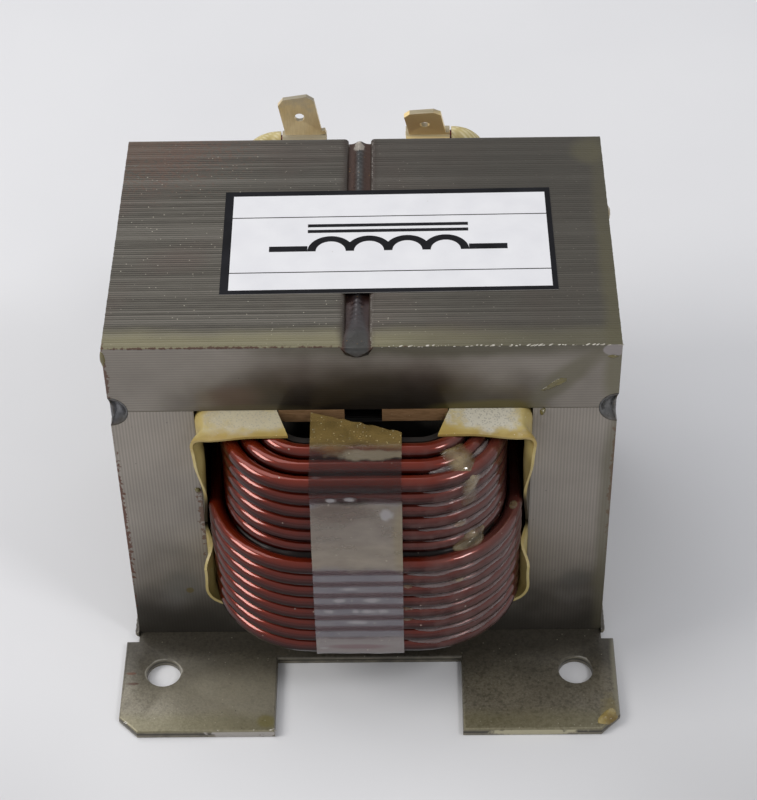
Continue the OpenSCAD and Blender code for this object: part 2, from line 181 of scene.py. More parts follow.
def end_tree(tree, given, geometry):
    real = node(tree, "GeometryNodeRealizeInstances", {"Geometry": geometry})
    finished = node(tree, "GeometryNodeSetMaterial", {"Geometry": real, "Material": given["Finish"]})
    node(tree, "NodeGroupOutput", {"Geometry": finished})
    return tree


def new_object(name, mesh):
    made = bpy.data.objects.new(name, mesh)
    scene.collection.objects.link(made)
    return made


def flatten(obj):
    """Keeps what an object's modifiers make of it as a plain mesh."""
    evaluated = obj.evaluated_get(bpy.context.evaluated_depsgraph_get())
    mesh = bpy.data.meshes.new_from_object(evaluated)
    obj.modifiers.clear()
    obj.data = mesh
    return obj


def grow(name, mesh, tree, **values):
    """Makes an object from a seed mesh and a geometry tree."""
    obj = new_object(name, mesh)
    modifier = obj.modifiers.new(tree.name, "NODES")
    modifier.node_group = tree
    for item in tree.interface.items_tree:
        label = item.name.replace(" ", "_")
        if item.in_out == "INPUT" and label in values:
            modifier[item.identifier] = values[label]
    return flatten(obj)


# %% Mesh helpers
def mesh_from(name, points, edges=(), faces=()):
    mesh = bpy.data.meshes.new(name)
    mesh.from_pydata([tuple(p) for p in points], list(edges), list(faces))
    return mesh


def grid_faces(rings, count, closed):
    """Faces between rings of count points each. A closed ring joins its last point to its first."""
    faces = []
    for low in range(0, (rings - 1) * count, count):
        for i in range(count if closed else count - 1):
            j = (i + 1) % count
            faces.append((low + i, low + j, low + count + j, low + count + i))
    return faces


def from_bmesh(name, work):
    mesh = bpy.data.meshes.new(name)
    work.to_mesh(mesh)
    work.free()
    return new_object(name, mesh)


def outward(obj):
    """Turns all faces of a closed piece outwards."""
    work = bmesh.new()
    work.from_mesh(obj.data)
    bmesh.ops.recalc_face_normals(work, faces=work.faces)
    work.to_mesh(obj.data)
    work.free()
    return obj


def shade_smooth(obj, sharp_above=40):
    obj.data.polygons.foreach_set("use_smooth", [True] * len(obj.data.polygons))
    obj.data.set_sharp_from_angle(angle=math.radians(sharp_above))
    return obj


# %% Helper that gives a piece its place
def dress(obj, material, node_name=None):
    """Gives a new piece its material and its place in the part."""
    obj.data.materials.clear()
    obj.data.materials.append(material)
    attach(obj, "root")
    if node_name:
        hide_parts(node_name)
    print(obj.name, len(obj.data.vertices), "points,", len(obj.data.polygons), "faces")


# %% [markdown]
# ## Camera
# The view looks down at about 44 degrees from a little to the right of the middle. The camera's
# place and turn were worked out from where the core's corners lie in the photograph, whose size is
# 757 by 800 pixels.

# %% Camera
IMAGE_WIDTH = 757
FOCAL_PIXELS = 2257.5
camera_data = bpy.data.cameras.new("camera")
camera_data.sensor_fit = "HORIZONTAL"
camera_data.sensor_width = 36.0
camera_data.lens = FOCAL_PIXELS * camera_data.sensor_width / IMAGE_WIDTH
camera_data.clip_start = 0.01
camera = bpy.data.objects.new("camera", camera_data)
scene.collection.objects.link(camera)
to_right = Vector((0.9998, 0.0037, -0.0171))
to_back = Vector((0.0145, -0.7220, 0.6917))
turn = Matrix((to_right, to_back.cross(to_right), to_back)).transposed()
camera.matrix_world = Matrix.Translation(Vector((7.39, -274.12, 293.66)) * MM) @ turn.to_4x4()
scene.camera = camera
print("lens %.1f mm" % camera_data.lens)

# %% [markdown]
# ## Floor and light
# The part stands on a pale sheet under soft lamps: one to the left, which draws the bright lines along
# the wires, a large one overhead, and a small one to the right that glints in the varnish.

# %% Floor and light
def floor_sheet(side=3.0):
    """Matt card: a pale grey that takes soft shadows, darkened by painted shade at the front right and front
    left.
    """
    material, tree, shader, place = new_finish("pale_card", Roughness=0.9, Specular_IOR_Level=0.1)
    # Painted shade: two soft patches darken the card at the front right and the front left of the part
    shade_right = stain(tree, place, 0.5, (75, -85, 0), (45, 40, ALL), 0.65, 0.6)
    shade_left = stain(tree, place, 0.5, (-75, -90, 0), (45, 40, ALL), 0.4, 0.6)
    colour = painted(tree, "#dadadd", (grain(tree, place, 120.0), "#e2e2e4"), (shade_right, "#b0b0b2"),
                     (shade_left, "#b0b0b2"))
    link(tree, shader, {"Base Color": colour})
    corners = [(-side, -side, 0), (side, -side, 0), (side, side, 0), (-side, side, 0)]
    sheet = new_object("floor", mesh_from("floor", corners, faces=[(0, 1, 2, 3)]))
    sheet.data.materials.append(material)


PART_MIDDLE = Vector((0, 0, 0.035))


def soft_lamp(name, place, size, power, colour):
    """A rectangular lamp aimed at the part: its place and size in metres and its power in watts."""
    lamp_data = bpy.data.lights.new(name, "AREA")
    lamp_data.shape = "RECTANGLE"
    lamp_data.size, lamp_data.size_y = size
    lamp_data.energy = power
    lamp_data.color = linear(colour)[:3]
    lamp = bpy.data.objects.new(name, lamp_data)
    lamp.location = place
    lamp.rotation_euler = (PART_MIDDLE - Vector(place)).to_track_quat("-Z", "Y").to_euler()
    scene.collection.objects.link(lamp)


floor_sheet()
soft_lamp("key", (-0.85, -0.2, 0.65), (0.42, 0.42), 5.2, "#fffdf9")
soft_lamp("overhead", (-0.5, 0.4, 1.06), (0.95, 0.8), 4.1, "#ffffff")
soft_lamp("right", (0.6, -0.45, 0.95), (0.25, 0.25), 2.4, "#ffffff")
world = bpy.data.worlds.new("studio")
scene.world = world
world.use_nodes = True
link(world.node_tree, world.node_tree.nodes["Background"], {"Color": "#e6e7ea", "Strength": 0.6})
print("lamps:", [lamp.name for lamp in bpy.data.lights])

# %% [markdown]
# ## Varnished core steel
# The core is a stack of cold-rolled silicon steel sheets, blanked, welded and dipped in varnish.
# From above and from the side it shows a hundred sheared edges, each a little lighter or darker
# than the next. The front is the flat of one sheet, with fine rolling lines, browner where varnish
# ran and olive where it gathered. One function makes the finish for both stacks, because they
# differ only in the way the rolling lines run and in where the varnish and the painted shade lie.

# %% Core steel material
ROLL_PITCH = 0.5  # mm between two rolling lines, drawn coarser than most of them so that they show


def core_steel(name, lines_across, dull, bright, edge_stains_and_shade, face_stains_and_shade, rust):
    """Rolled silicon steel, sheared and varnished: a grey-brown satin with fine lines."""
    material, tree, shader, place = new_finish(name, Metallic=0.3, Coat_Weight=0.4, Coat_Roughness=0.2)
    gentle = grain(tree, place, 9.0, 0.3, 0.7, detail=2.0)
    ragged = grain(tree, place, 0.6, -0.5, 1.9)
    # Sheared edges: a tone for each sheet, clouds, and a dark line between two sheets
    tone = node(tree, "ShaderNodeAttribute", attribute_name="sheet_tone").outputs["Fac"]
    crest = node(tree, "ShaderNodeAttribute", attribute_name="crest").outputs["Fac"]
    seam = node(tree, "ShaderNodeMapRange", {0: crest, 1: 0.1, 2: 0.95, 3: 0.9, 4: 0.0})
    streaks = grain(tree, place, 3.0, 0.0, 0.3, (1, 6, 1))
    edges = painted(tree, "#443f36", (tone, "#68635a"), (streaks, "#6e6a60"),
                    (grain(tree, place, 14.0, -0.4, 0.5), "#5f4e46"), (seam, "#1c1916"),
                    (specks(tree, place, 0.8, 0.115, 0.35, 0.8), "#bab4a3"))
    # Flat of the sheet: even rolling lines and slow clouds
    lines = node(tree, "ShaderNodeTexWave",
                 {"Vector": place, "Scale": ONE_BAND / ROLL_PITCH, "Distortion": 0.8, "Detail": 1.0,
                  "Detail Scale": 0.2}, bands_direction="Z" if lines_across else "X")
    line_mask = node(tree, "ShaderNodeMath", {0: lines, 1: 0.35}, operation="MULTIPLY")
    flat = painted(tree, dull, (grain(tree, place, 13.0), bright), (line_mask, "#5d564e"))
    # Both stain lists also carry patches of painted shade
    edges = stained(tree, place, gentle, edges, edge_stains_and_shade)
    flat = stained(tree, place, gentle, flat, face_stains_and_shade)
    is_flat = node(tree, "ShaderNodeMapRange", {0: facing(tree, "Y"), 1: 0.65, 2: 0.8})
    colour = painted(tree, edges, (is_flat, flat), (specks(tree, place, 2.3, 0.12, 0.12, 0.6), "#a8a292"),
                     (specks(tree, place, 1.9, 0.12, 0.2, 0.7), "#2c251f"))
    colour = stained(tree, place, ragged, colour, rust)
    height = node(tree, "ShaderNodeMath", {0: lines, 1: is_flat}, operation="MULTIPLY")
    relief = node(tree, "ShaderNodeBump", {"Strength": 0.4, "Distance": 0.02 * MM, "Height": height})
    link(tree, shader, {"Base Color": colour, "Roughness": grain(tree, place, 3.0, 0.34, 0.5),
                        "Normal": relief})
    return material


# %% Where varnish, soot, rust and painted shade lie on the core
FRONT_Y = -25.5  # the front of the core in mm
# Near black, painted as shade where the core lies deep in shadow
PAINTED_SHADE_BLACK = "#0c0a08"
# Each stain or patch of painted shade is a centre and half-sizes in mm, a tint, an amount, and softness and
# turn if they matter
yoke_edge_stains_and_shade = [
    ((0, FRONT_Y, 66.5), (ALL, 3.6, ALL), "#8b8564", 0.6, 0.5),
    ((39.4, 0, 66.5), (2.6, ALL, 3), "#726c47", 0.75),
    ((36.6, 21.5, 66.5), (2.8, 3.4, 3), "#948d5e", 0.7),
    # These two darken the top towards its rear and its right half
    ((20, 24, 66.5), (34, 20, ALL), "#3a3630", 0.55, 0.6),
    ((34, 0, 66.5), (22, ALL, ALL), "#3a362e", 0.6, 0.7),
    # Painted shade: the yoke's underside over the air gap
    ((0, 0, 53.3), (13, ALL, 1.2), PAINTED_SHADE_BLACK, 1.0, 0.2),
    # Darker along the weld groove
    ((-0.7, 0, 66), (2.6, ALL, 1.6), "#33261d", 0.85, 0.3),
]
yoke_face_stains = [
    ((0.5, FRONT_Y, 52.5), (25, 20, 11), "#463c2d", 0.9, 0.45),
    ((1, FRONT_Y, 52.2), (21, 20, 8.2), "#1f1912", 0.9, 0.6),
    ((9.5, FRONT_Y, 57.8), (5, 20, 3.4), "#20180f", 0.55, 0.6),
    ((-8, FRONT_Y, 56), (5, 20, 3), "#20180f", 0.5, 0.6),
    ((-20, FRONT_Y, 56), (4, 20, 2.5), "#5b443a", 0.5, 0.6),
    ((13, FRONT_Y, 66.6), (27, 20, 2.4), "#443f2a", 0.85, 0.5),
    ((19, FRONT_Y, 53.4), (8.5, 20, 1.8), "#5a5128", 0.85, 0.3),
    ((31, FRONT_Y, 60), (7.5, 20, 1.8), "#57523a", 0.65, 0.5, -47),
    ((39.3, FRONT_Y, 60), (2.6, 20, 9), "#66614a", 0.8),
    ((37.9, FRONT_Y, 65.4), (1.7, 20, 1.1), "#8b8482", 0.95, 0.1),
    ((-18, FRONT_Y, 53.4), (9, 20, 1.3), "#544c36", 0.6),
]
yoke_rust = [
    ((-22, FRONT_Y, 66.5), (19, 0.3, 0.16), "#42200f", 0.9, 0.4),
    ((-39, FRONT_Y, 60), (0.5, 1.0, 7), "#4f2a14", 0.8, 0.2),
    ((-38, 24, 66.5), (14, 9, 1.0), "#64483a", 0.5, 0.5),
]
leg_edge_stains_and_shade = [
    ((0, FRONT_Y, 30), (ALL, 2.6, ALL), "#6f6a4e", 0.5),
    # Painted shade: the centre leg's top under the air gap
    ((0, 0, 51), (13.6, ALL, 2.4), PAINTED_SHADE_BLACK, 1.0, 0.2),
]
leg_face_stains_and_shade = [
    # Painted reflection of the dark plate: the legs darken towards the bottom
    ((0, FRONT_Y, -7), (ALL, 20, 23), "#2c2923", 0.92, 0.6),
    ((39.3, FRONT_Y, 30), (2.2, 20, 30), "#5f5a46", 0.7),
    ((-30.5, FRONT_Y, 13), (3, 20, 3.5), "#62615b", 0.5, 0.6),
    ((-29.6, FRONT_Y, 12.2), (0.7, 20, 0.7), "#5f5228", 0.8, 0.2),
    ((34, FRONT_Y, 14.5), (2, 20, 2), "#5d5c57", 0.4, 0.6),
    # Painted shade: the centre leg's front, deep behind the coil
    ((0, FRONT_Y, 45), (15, ALL, 16), PAINTED_SHADE_BLACK, 1.0, 0.3),
]
leg_rust = [
    ((-38.9, FRONT_Y, 27), (0.5, 1.0, 14), "#552912", 0.9, 0.2),
    ((-26.2, FRONT_Y, 30), (0.6, 1.0, 6), "#5f3a20", 0.8, 0.2),
    ((38.9, FRONT_Y, 40), (0.4, 1.0, 12), "#5c4127", 0.7, 0.2),
]
yoke_steel = core_steel("varnished_silicon_steel_yoke", True, "#7a736a", "#8f887e",
                        yoke_edge_stains_and_shade, yoke_face_stains, yoke_rust)
leg_steel = core_steel("varnished_silicon_steel_legs", False, "#8b847b", "#9d958b",
                       leg_edge_stains_and_shade, leg_face_stains_and_shade, leg_rust)

# %% [markdown]
# ## The stacks of sheets
# Each stack could stay one smooth solid with painted lines. Here the rim of one sheet, with its
# rounded edges, is repeated by a geometry tree along the depth of the core, and each copy is moved
# in or out by a hair. The lines are then real, and hold from any side and at any distance.

# %% Outlines of the sheets
leg_low, leg_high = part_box("e_stack")
yoke_low, yoke_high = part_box("i_stack")
half_width, face_y = leg_high[0], leg_high[1]
plate_top, joint_z, top_z = leg_low[2], yoke_low[2], yoke_high[2]
leg_width = half_width / 3
window_x = 2 * leg_width
window_floor = plate_top + leg_width
AIR_GAP = 2.5 * MM
NOTCH_R = 2.9 * MM
GROOVE_X = -0.7 * MM
GROOVE_HALF = 1.8 * MM
GROOVE_DEPTH = 1.6 * MM
GROOVE_EASE = 0.7 * MM
print("core %.1f mm wide, windows %.1f mm" % (2 * half_width / MM, (window_x - leg_width) / MM))


def arc(centre, radius, start, end, steps=8):
    angles = [math.radians(start + (end - start) * i / steps) for i in range(steps + 1)]
    return [(centre[0] + radius * math.cos(a), centre[1] + radius * math.sin(a)) for a in angles]


def e_outline():
    """The E sheet, seen from the front, counter-clockwise."""
    gap_z = joint_z - AIR_GAP
    return ([(-half_width, plate_top), (half_width, plate_top)]
            + arc((half_width, joint_z), NOTCH_R, 270, 180)
            + [(window_x, joint_z), (window_x, window_floor), (leg_width, window_floor),
               (leg_width, gap_z), (-leg_width, gap_z), (-leg_width, window_floor),
               (-window_x, window_floor), (-window_x, joint_z)]
            + arc((-half_width, joint_z), NOTCH_R, 0, -90))


def i_outline():
    """The I sheet with its weld groove, seen from the front, counter-clockwise."""
    left, right = GROOVE_X - GROOVE_HALF, GROOVE_X + GROOVE_HALF
    groove_z, ease_z = top_z - GROOVE_DEPTH, top_z - GROOVE_EASE
    return (arc((half_width, joint_z), NOTCH_R, 180, 90) + [(half_width, top_z)]
            + arc((right + GROOVE_EASE, ease_z), GROOVE_EASE, 90, 180, 4)
            + [(right, groove_z), (left, groove_z)]
            + arc((left - GROOVE_EASE, ease_z), GROOVE_EASE, 0, 90, 4)
            + [(-half_width, top_z)] + arc((-half_width, joint_z), NOTCH_R, 90, 0))


# %% The stacking tree and the two stacks
SHEETS = 100
SHEET_EDGE = 0.09 * MM
SHEET_VALLEY = 0.05 * MM
sheet_pitch = 2 * face_y / SHEETS


def inset(outline, distance):
    """Moves every edge of a closed counter-clockwise outline inwards."""
    moved = []
    for i, here in enumerate(outline):
        before, here, after = (Vector(outline[j % len(outline)]) for j in (i - 1, i, i + 1))
        normals = [Vector((-d.y, d.x)).normalized() for d in (here - before, after - here)]
        mitre = normals[0] + normals[1]
        moved.append(tuple(here + mitre * (2 * distance / mitre.length_squared)))
    return moved


def sheet_rim(name, outline):
    """The edge of one sheet: four rings of points, low at its two faces and proud between them."""
    low = inset(outline, SHEET_VALLEY)
    rings = [(0, low, 0.0), (SHEET_EDGE, outline, 1.0), (sheet_pitch - SHEET_EDGE, outline, 1.0),
             (sheet_pitch, low, 0.0)]
    points = [(x, y - face_y, z) for y, ring, _ in rings for x, z in ring]
    mesh = mesh_from(name, points, faces=grid_faces(len(rings), len(outline), True))
    heights = mesh.attributes.new("crest", "FLOAT", "POINT")
    heights.data.foreach_set("value", [crest for _, ring, crest in rings for _ in ring])
    return mesh


def stacking_tree():
    tree, given = new_tree("stack of sheets", Sheets="Int", Pitch="Float", Wander="Float", Seed="Int")
    step = node(tree, "ShaderNodeCombineXYZ", {"Y": given["Pitch"]})
    line = node(tree, "GeometryNodeMeshLine", {"Count": given["Sheets"], "Offset": step})
    copies = node(tree, "GeometryNodeInstanceOnPoints", {"Points": line, "Instance": given["Geometry"]})
    chance = node(tree, "FunctionNodeRandomValue", {8: given["Seed"]})
    toned = node(tree, "GeometryNodeStoreNamedAttribute",
                 {"Geometry": copies, "Name": "sheet_tone", "Value": chance}, domain="INSTANCE")
    real = node(tree, "GeometryNodeRealizeInstances", {"Geometry": toned})
    tone = node(tree, "GeometryNodeInputNamedAttribute", {"Name": "sheet_tone"})
    crest = node(tree, "GeometryNodeInputNamedAttribute", {"Name": "crest"})
    centred = node(tree, "ShaderNodeMath", {0: tone, 1: 0.5}, operation="SUBTRACT")
    proud = node(tree, "ShaderNodeMath", {0: centred, 1: crest}, operation="MULTIPLY")
    shift = node(tree, "ShaderNodeMath", {0: proud, 1: given["Wander"]}, operation="MULTIPLY")
    normal = node(tree, "GeometryNodeInputNormal")
    push = node(tree, "ShaderNodeVectorMath", {0: normal, "Scale": shift}, operation="SCALE")
    moved = node(tree, "GeometryNodeSetPosition", {"Geometry": real, "Offset": push})
    joined = node(tree, "GeometryNodeMergeByDistance", {"Geometry": moved, "Distance": 0.001 * MM})
    return end_tree(tree, given, joined)


def close_ends(obj):
    """Fills the open front and rear of a stack with the flat of its first and last sheet."""
    work = bmesh.new()
    work.from_mesh(obj.data)
    bmesh.ops.holes_fill(work, edges=[e for e in work.edges if e.is_boundary])
    bmesh.ops.recalc_face_normals(work, faces=work.faces)
    work.to_mesh(obj.data)
    work.free()


stack_tree = stacking_tree()
for stack, outline, steel, seed in (("e_stack", e_outline(), leg_steel, 3),
                                    ("i_stack", i_outline(), yoke_steel, 8)):
    piece = grow("sheets_" + stack, sheet_rim(stack, outline), stack_tree, Sheets=SHEETS, Pitch=sheet_pitch,
                 Wander=0.05 * MM, Seed=seed, Finish=steel)
    close_ends(piece)
    dress(piece, steel, stack)

# %% [markdown]
# ## Foot plate
# The plate is stamped from steel sheet and dipped in varnish with the rest. It is olive-grey and
# satin, its edges are rolled by the punch, and on the front edges of the feet the varnish has
# flaked and left pale patches. Its outline and its holes are drawn anew here, because every edge
# follows the same rolled profile, which a plain bevel would not give.

# %% Foot plate
def plate_steel():
    """Stamped steel sheet under varnish: olive-grey and satin, grainy up close, pale where it flaked."""
    material, tree, shader, place = new_finish("varnished_steel_sheet", Metallic=0.4, Coat_Weight=0.3,
                                               Coat_Roughness=0.25)
    gentle = grain(tree, place, 6.0, 0.3, 0.7)
    ragged = grain(tree, place, 1.2)
    is_side = node(tree, "ShaderNodeMapRange", {0: facing(tree, "Z"), 1: 0.35, 2: 0.6, 3: 1.0, 4: 0.0})
    folded = node(tree, "ShaderNodeVectorMath", {0: place}, operation="ABSOLUTE")
    # Painted highlight: the rolled rims and walls of the four holes are painted bright
    hole_rim_highlight = stain(tree, folded, gentle, (34.25, 34.25, 1.5), (2.84, 2.84, ALL), 0.8, 0.03)
    rust_streak = stain(tree, place, ragged, (-39.6, -34.4, 1.5), (0.9, 0.3, ALL), 0.8, 0.15)
    rust_line = stain(tree, place, ragged, (-39.4, -36.6, 1.5), (1.1, 0.25, ALL), 0.8, 0.15)
    top = painted(tree, "#676154", (grain(tree, place, 10.0), "#776f5f"),
                  (grain(tree, place, 0.35, 0.0, 0.6, detail=1.0), "#8f8978"),
                  (grain(tree, place, 0.6, -0.5, 0.6), "#3f3a2f"),
                  (stain(tree, place, gentle, (-22, -39, 1.5), (15, 7, ALL), 0.6, 0.6), "#9a9483"),
                  # Painted shadow: a dark band on the plate along the front of the core
                  (stain(tree, place, gentle, (0, -25, 1.5), (ALL, 9, ALL), 0.75, 0.6), "#332f2a"),
                  (stain(tree, place, gentle, (0, -46.7, 1.5), (ALL, 3.4, ALL), 0.4, 0.5), "#7f7953"),
                  (stain(tree, place, ragged, (39.4, -42.5, 1.5), (1.2, 2.6, ALL), 0.5, 0.5), "#8a7c4a"),
                  (stain(tree, place, gentle, (-16.8, -44.6, 1.5), (1.6, 1.4, ALL), 0.6, 0.3), "#7d7440"),
                  (stain(tree, place, gentle, (34, -40, 1.5), (12, 9, ALL), 0.2, 0.7), "#4e483b"),
                  (stain(tree, place, gentle, (41, -36, 1.5), (0.8, 9, ALL), 0.6, 0.4), "#8f8a76"),
                  (hole_rim_highlight, "#a5a196"))
    sides = painted(tree, "#5a5548", (grain(tree, place, 1.6, 0.0, 0.8), "#837c69"),
                    (stain(tree, place, gentle, (0, 0, 0.85), (ALL, ALL, 0.2), 0.8, 0.3), "#2b2720"),
                    (stain(tree, place, ragged, (-20.5, -46.7, 1.0), (5.5, 1, 1.2), 0.95, 0.15), "#a5a09a"),
                    (stain(tree, place, ragged, (27, -46.7, 0.9), (6.5, 1, 0.9), 0.95, 0.2), "#b3ac90"))
    colour = painted(tree, top, (is_side, sides), (specks(tree, place, 0.9, 0.13, 0.25, 0.6), "#aca692"),
                     (specks(tree, place, 1.1, 0.14, 0.2, 0.6), "#3c362c"),
                     (rust_streak, "#5f3a28"), (rust_line, "#4f3226"))
    relief = node(tree, "ShaderNodeBump",
                  {"Strength": 0.6, "Distance": 0.02 * MM, "Height": grain(tree, place, 0.4)})
    link(tree, shader, {"Base Color": colour, "Roughness": grain(tree, place, 4.0, 0.34, 0.46),
                        "Normal": relief})
    return material


# %% Stamped plate
# The corners of one foot, and the rolled profile of every edge, in mm
FOOT = [(39, 27.3), (41, 27.3), (41, 43.5), (37.8, 46.7), (15.3, 46.7), (15.3, 31.3)]
HOLE_AT, HOLE_R = 34.25 * MM, 2.75 * MM
ROLLED = [(0.2, 0.0), (0.06, 0.06), (0.0, 0.2), (0.0, 0.95), (0.05, 1.16), (0.16, 1.34),
          (0.31, 1.45), (0.5, 1.5)]


def plate_outline():
    """A quarter of the plate, mirrored to all four, counter-clockwise."""
    outline = []
    for x, y, way in ((1, 1, 1), (-1, 1, -1), (-1, -1, 1), (1, -1, -1)):
        outline += [(x * px * MM, y * py * MM) for px, py in FOOT[::way]]
    return outline


def stamped_plate():
    """Every edge follows the same rolled profile: a distance inwards and a height, from below to the top."""
    work = bmesh.new()
    loops = [lambda d: inset(plate_outline(), d)]
    for x in (-HOLE_AT, HOLE_AT):
        for y in (-HOLE_AT, HOLE_AT):
            loops.append(lambda d, x=x, y=y: arc((x, y), HOLE_R + 0.6 * d, 0, 360, 48)[:-1])
    rims = ([], [])
    for loop in loops:
        rings = [[work.verts.new((x, y, z * MM)) for x, y in loop(d * MM)] for d, z in ROLLED]
        for low, high in zip(rings, rings[1:]):
            for i in range(len(low)):
                work.faces.new((low[i - 1], low[i], high[i], high[i - 1]))
        for rim, ring in zip(rims, (rings[0], rings[-1])):
            rim += [work.edges.get((ring[i - 1], ring[i])) for i in range(len(ring))]
    for rim in rims:
        bmesh.ops.triangle_fill(work, edges=rim, use_beauty=True)
    return shade_smooth(outward(from_bmesh("stamped_foot_plate", work)), 24)


plate_finish = plate_steel()
dress(stamped_plate(), plate_finish, "foot_plate")

# %% [markdown]
# ## The winding
# The coil is one length of enamelled wire, wound in four layers on a tube with rounded corners. The
# outermost layer stops half way up, so its last turn stands out as a step. A geometry tree draws one
# layer: a rectangle with round corners, repeated up the tube, made a little uneven and given the
# thickness of the wire. The two ends of the wire are swept along paths of their own by a second
# tree, which reads the thickness along the path from an attribute and serves for varnish too.

# %% Wire enamel material
def wire_enamel():
    """Baked polyester enamel on bright wire: a deep red under a clear gloss that draws sharp lines."""
    material, tree, shader, place = new_finish("polyester_wire_enamel", Metallic=0.5, Roughness=0.22,
                                               Specular_IOR_Level=0.1, Coat_Roughness=0.06, Coat_IOR=1.55)
    ragged = grain(tree, place, 2.5)
    haze = stain(tree, place, ragged, (20, -33, 32), (11, 13, 26), 0.42, 0.6)
    cream = specks(tree, place, 1.4, 0.16, 0.14, 0.75)
    # Painted shade darkens the lower half of each turn and painted light brightens its upper half;
    # the clear coat is also thinner on the lower half, so the gloss stays on the upper half
    normal = node(tree, "ShaderNodeSeparateXYZ", {0: tree.nodes["Texture Coordinate"].outputs["Normal"]})
    above = node(tree, "ShaderNodeMapRange", {0: normal.outputs["Z"], 1: 0.35, 2: 0.95, 3: 0.0, 4: 0.85})
    under = node(tree, "ShaderNodeMapRange", {0: normal.outputs["Z"], 1: -0.1, 2: 0.6, 3: 0.85, 4: 0.0})
    clear = node(tree, "ShaderNodeMapRange", {0: normal.outputs["Z"], 1: -0.1, 2: 0.55, 3: 0.12, 4: 0.75})
    colour = painted(tree, "#3d0c05", (grain(tree, place, 8.0), "#501407"), (above, "#76250f"),
                     (under, "#100201"), (haze, "#755853"), (cream, "#b5a699"))
    relief = node(tree, "ShaderNodeBump",
                  {"Strength": 0.12, "Distance": 0.03 * MM, "Height": grain(tree, place, 1.5)})
    link(tree, shader, {"Base Color": colour, "Coat Weight": clear, "Normal": relief})
    return material


enamel = wire_enamel()

# %% Trees for the layers and for what follows a path
def layer_tree():
    tree, given = new_tree("layer of turns", Half_Width="Float", Half_Depth="Float", Bend="Float",
                           Turns="Int", Pitch="Float", Lowest="Float", Wire="Float", Waver="Float",
                           Seed="Float")
    width = node(tree, "ShaderNodeMath", {0: given["Half Width"], 1: 2.0}, operation="MULTIPLY")
    depth = node(tree, "ShaderNodeMath", {0: given["Half Depth"], 1: 2.0}, operation="MULTIPLY")
    loop = node(tree, "GeometryNodeCurvePrimitiveQuadrilateral", {"Width": width, "Height": depth})
    rounded = node(tree, "GeometryNodeFilletCurve", {"Curve": loop, "Count": 11, "Radius": given["Bend"],
                                                     "Limit Radius": True}, mode="POLY")
    eased = node(tree, "GeometryNodeSubdivideCurve", {"Curve": rounded, "Cuts": 1})
    start = node(tree, "ShaderNodeCombineXYZ", {"Z": given["Lowest"]})
    step = node(tree, "ShaderNodeCombineXYZ", {"Z": given["Pitch"]})
    rows = node(tree, "GeometryNodeMeshLine",
                {"Count": given["Turns"], "Start Location": start, "Offset": step})
    turns = node(tree, "GeometryNodeInstanceOnPoints", {"Points": rows, "Instance": eased})
    real = node(tree, "GeometryNodeRealizeInstances", {"Geometry": turns})
    drift = node(tree, "ShaderNodeTexNoise",
                 {"Vector": node(tree, "GeometryNodeInputPosition"), "W": given["Seed"], "Scale": 60.0,
                  "Detail": 1.0}, noise_dimensions="4D")
    centred = node(tree, "ShaderNodeVectorMath", {0: drift.outputs["Color"], 1: (0.5, 0.5, 0.5)},
                   operation="SUBTRACT")
    waver = node(tree, "ShaderNodeVectorMath", {0: centred, "Scale": given["Waver"]}, operation="SCALE")
    uneven = node(tree, "GeometryNodeSetPosition", {"Geometry": real, "Offset": waver})
    radius = node(tree, "ShaderNodeMath", {0: given["Wire"], 1: 0.5}, operation="MULTIPLY")
    section = node(tree, "GeometryNodeCurvePrimitiveCircle", {"Resolution": 18, "Radius": radius})
    tube = node(tree, "GeometryNodeCurveToMesh", {"Curve": uneven, "Profile Curve": section})
    return end_tree(tree, given, node(tree, "GeometryNodeSetShadeSmooth", {"Geometry": tube}))


def path_tree():
    tree, given = new_tree("round bar on a path", Sides="Int")
    path = node(tree, "GeometryNodeMeshToCurve", {"Mesh": given["Geometry"]})
    section = node(tree, "GeometryNodeCurvePrimitiveCircle", {"Resolution": given["Sides"], "Radius": 1.0})
    thick = node(tree, "GeometryNodeInputNamedAttribute", {"Name": "thick"})
    tube = node(tree, "GeometryNodeCurveToMesh", {"Curve": path, "Profile Curve": section, "Scale": thick,
                                                  "Fill Caps": True})
    return end_tree(tree, given, node(tree, "GeometryNodeSetShadeSmooth", {"Geometry": tube}))


def path_mesh(name, paths):
    """One mesh for several paths. Each path is a list of points with their thickness."""
    points, edges, thick = [], [], []
    for path in paths:
        first = len(points)
        points += [point for point, _ in path]
        thick += [radius for _, radius in path]
        edges += [(first + i, first + i + 1) for i in range(len(path) - 1)]
    mesh = mesh_from(name, points, edges=edges)
    mesh.attributes.new("thick", "FLOAT", "POINT").data.foreach_set("value", thick)
    return mesh


turn_tree, bar_tree = layer_tree(), path_tree()
print("trees:", turn_tree.name, "and", bar_tree.name)

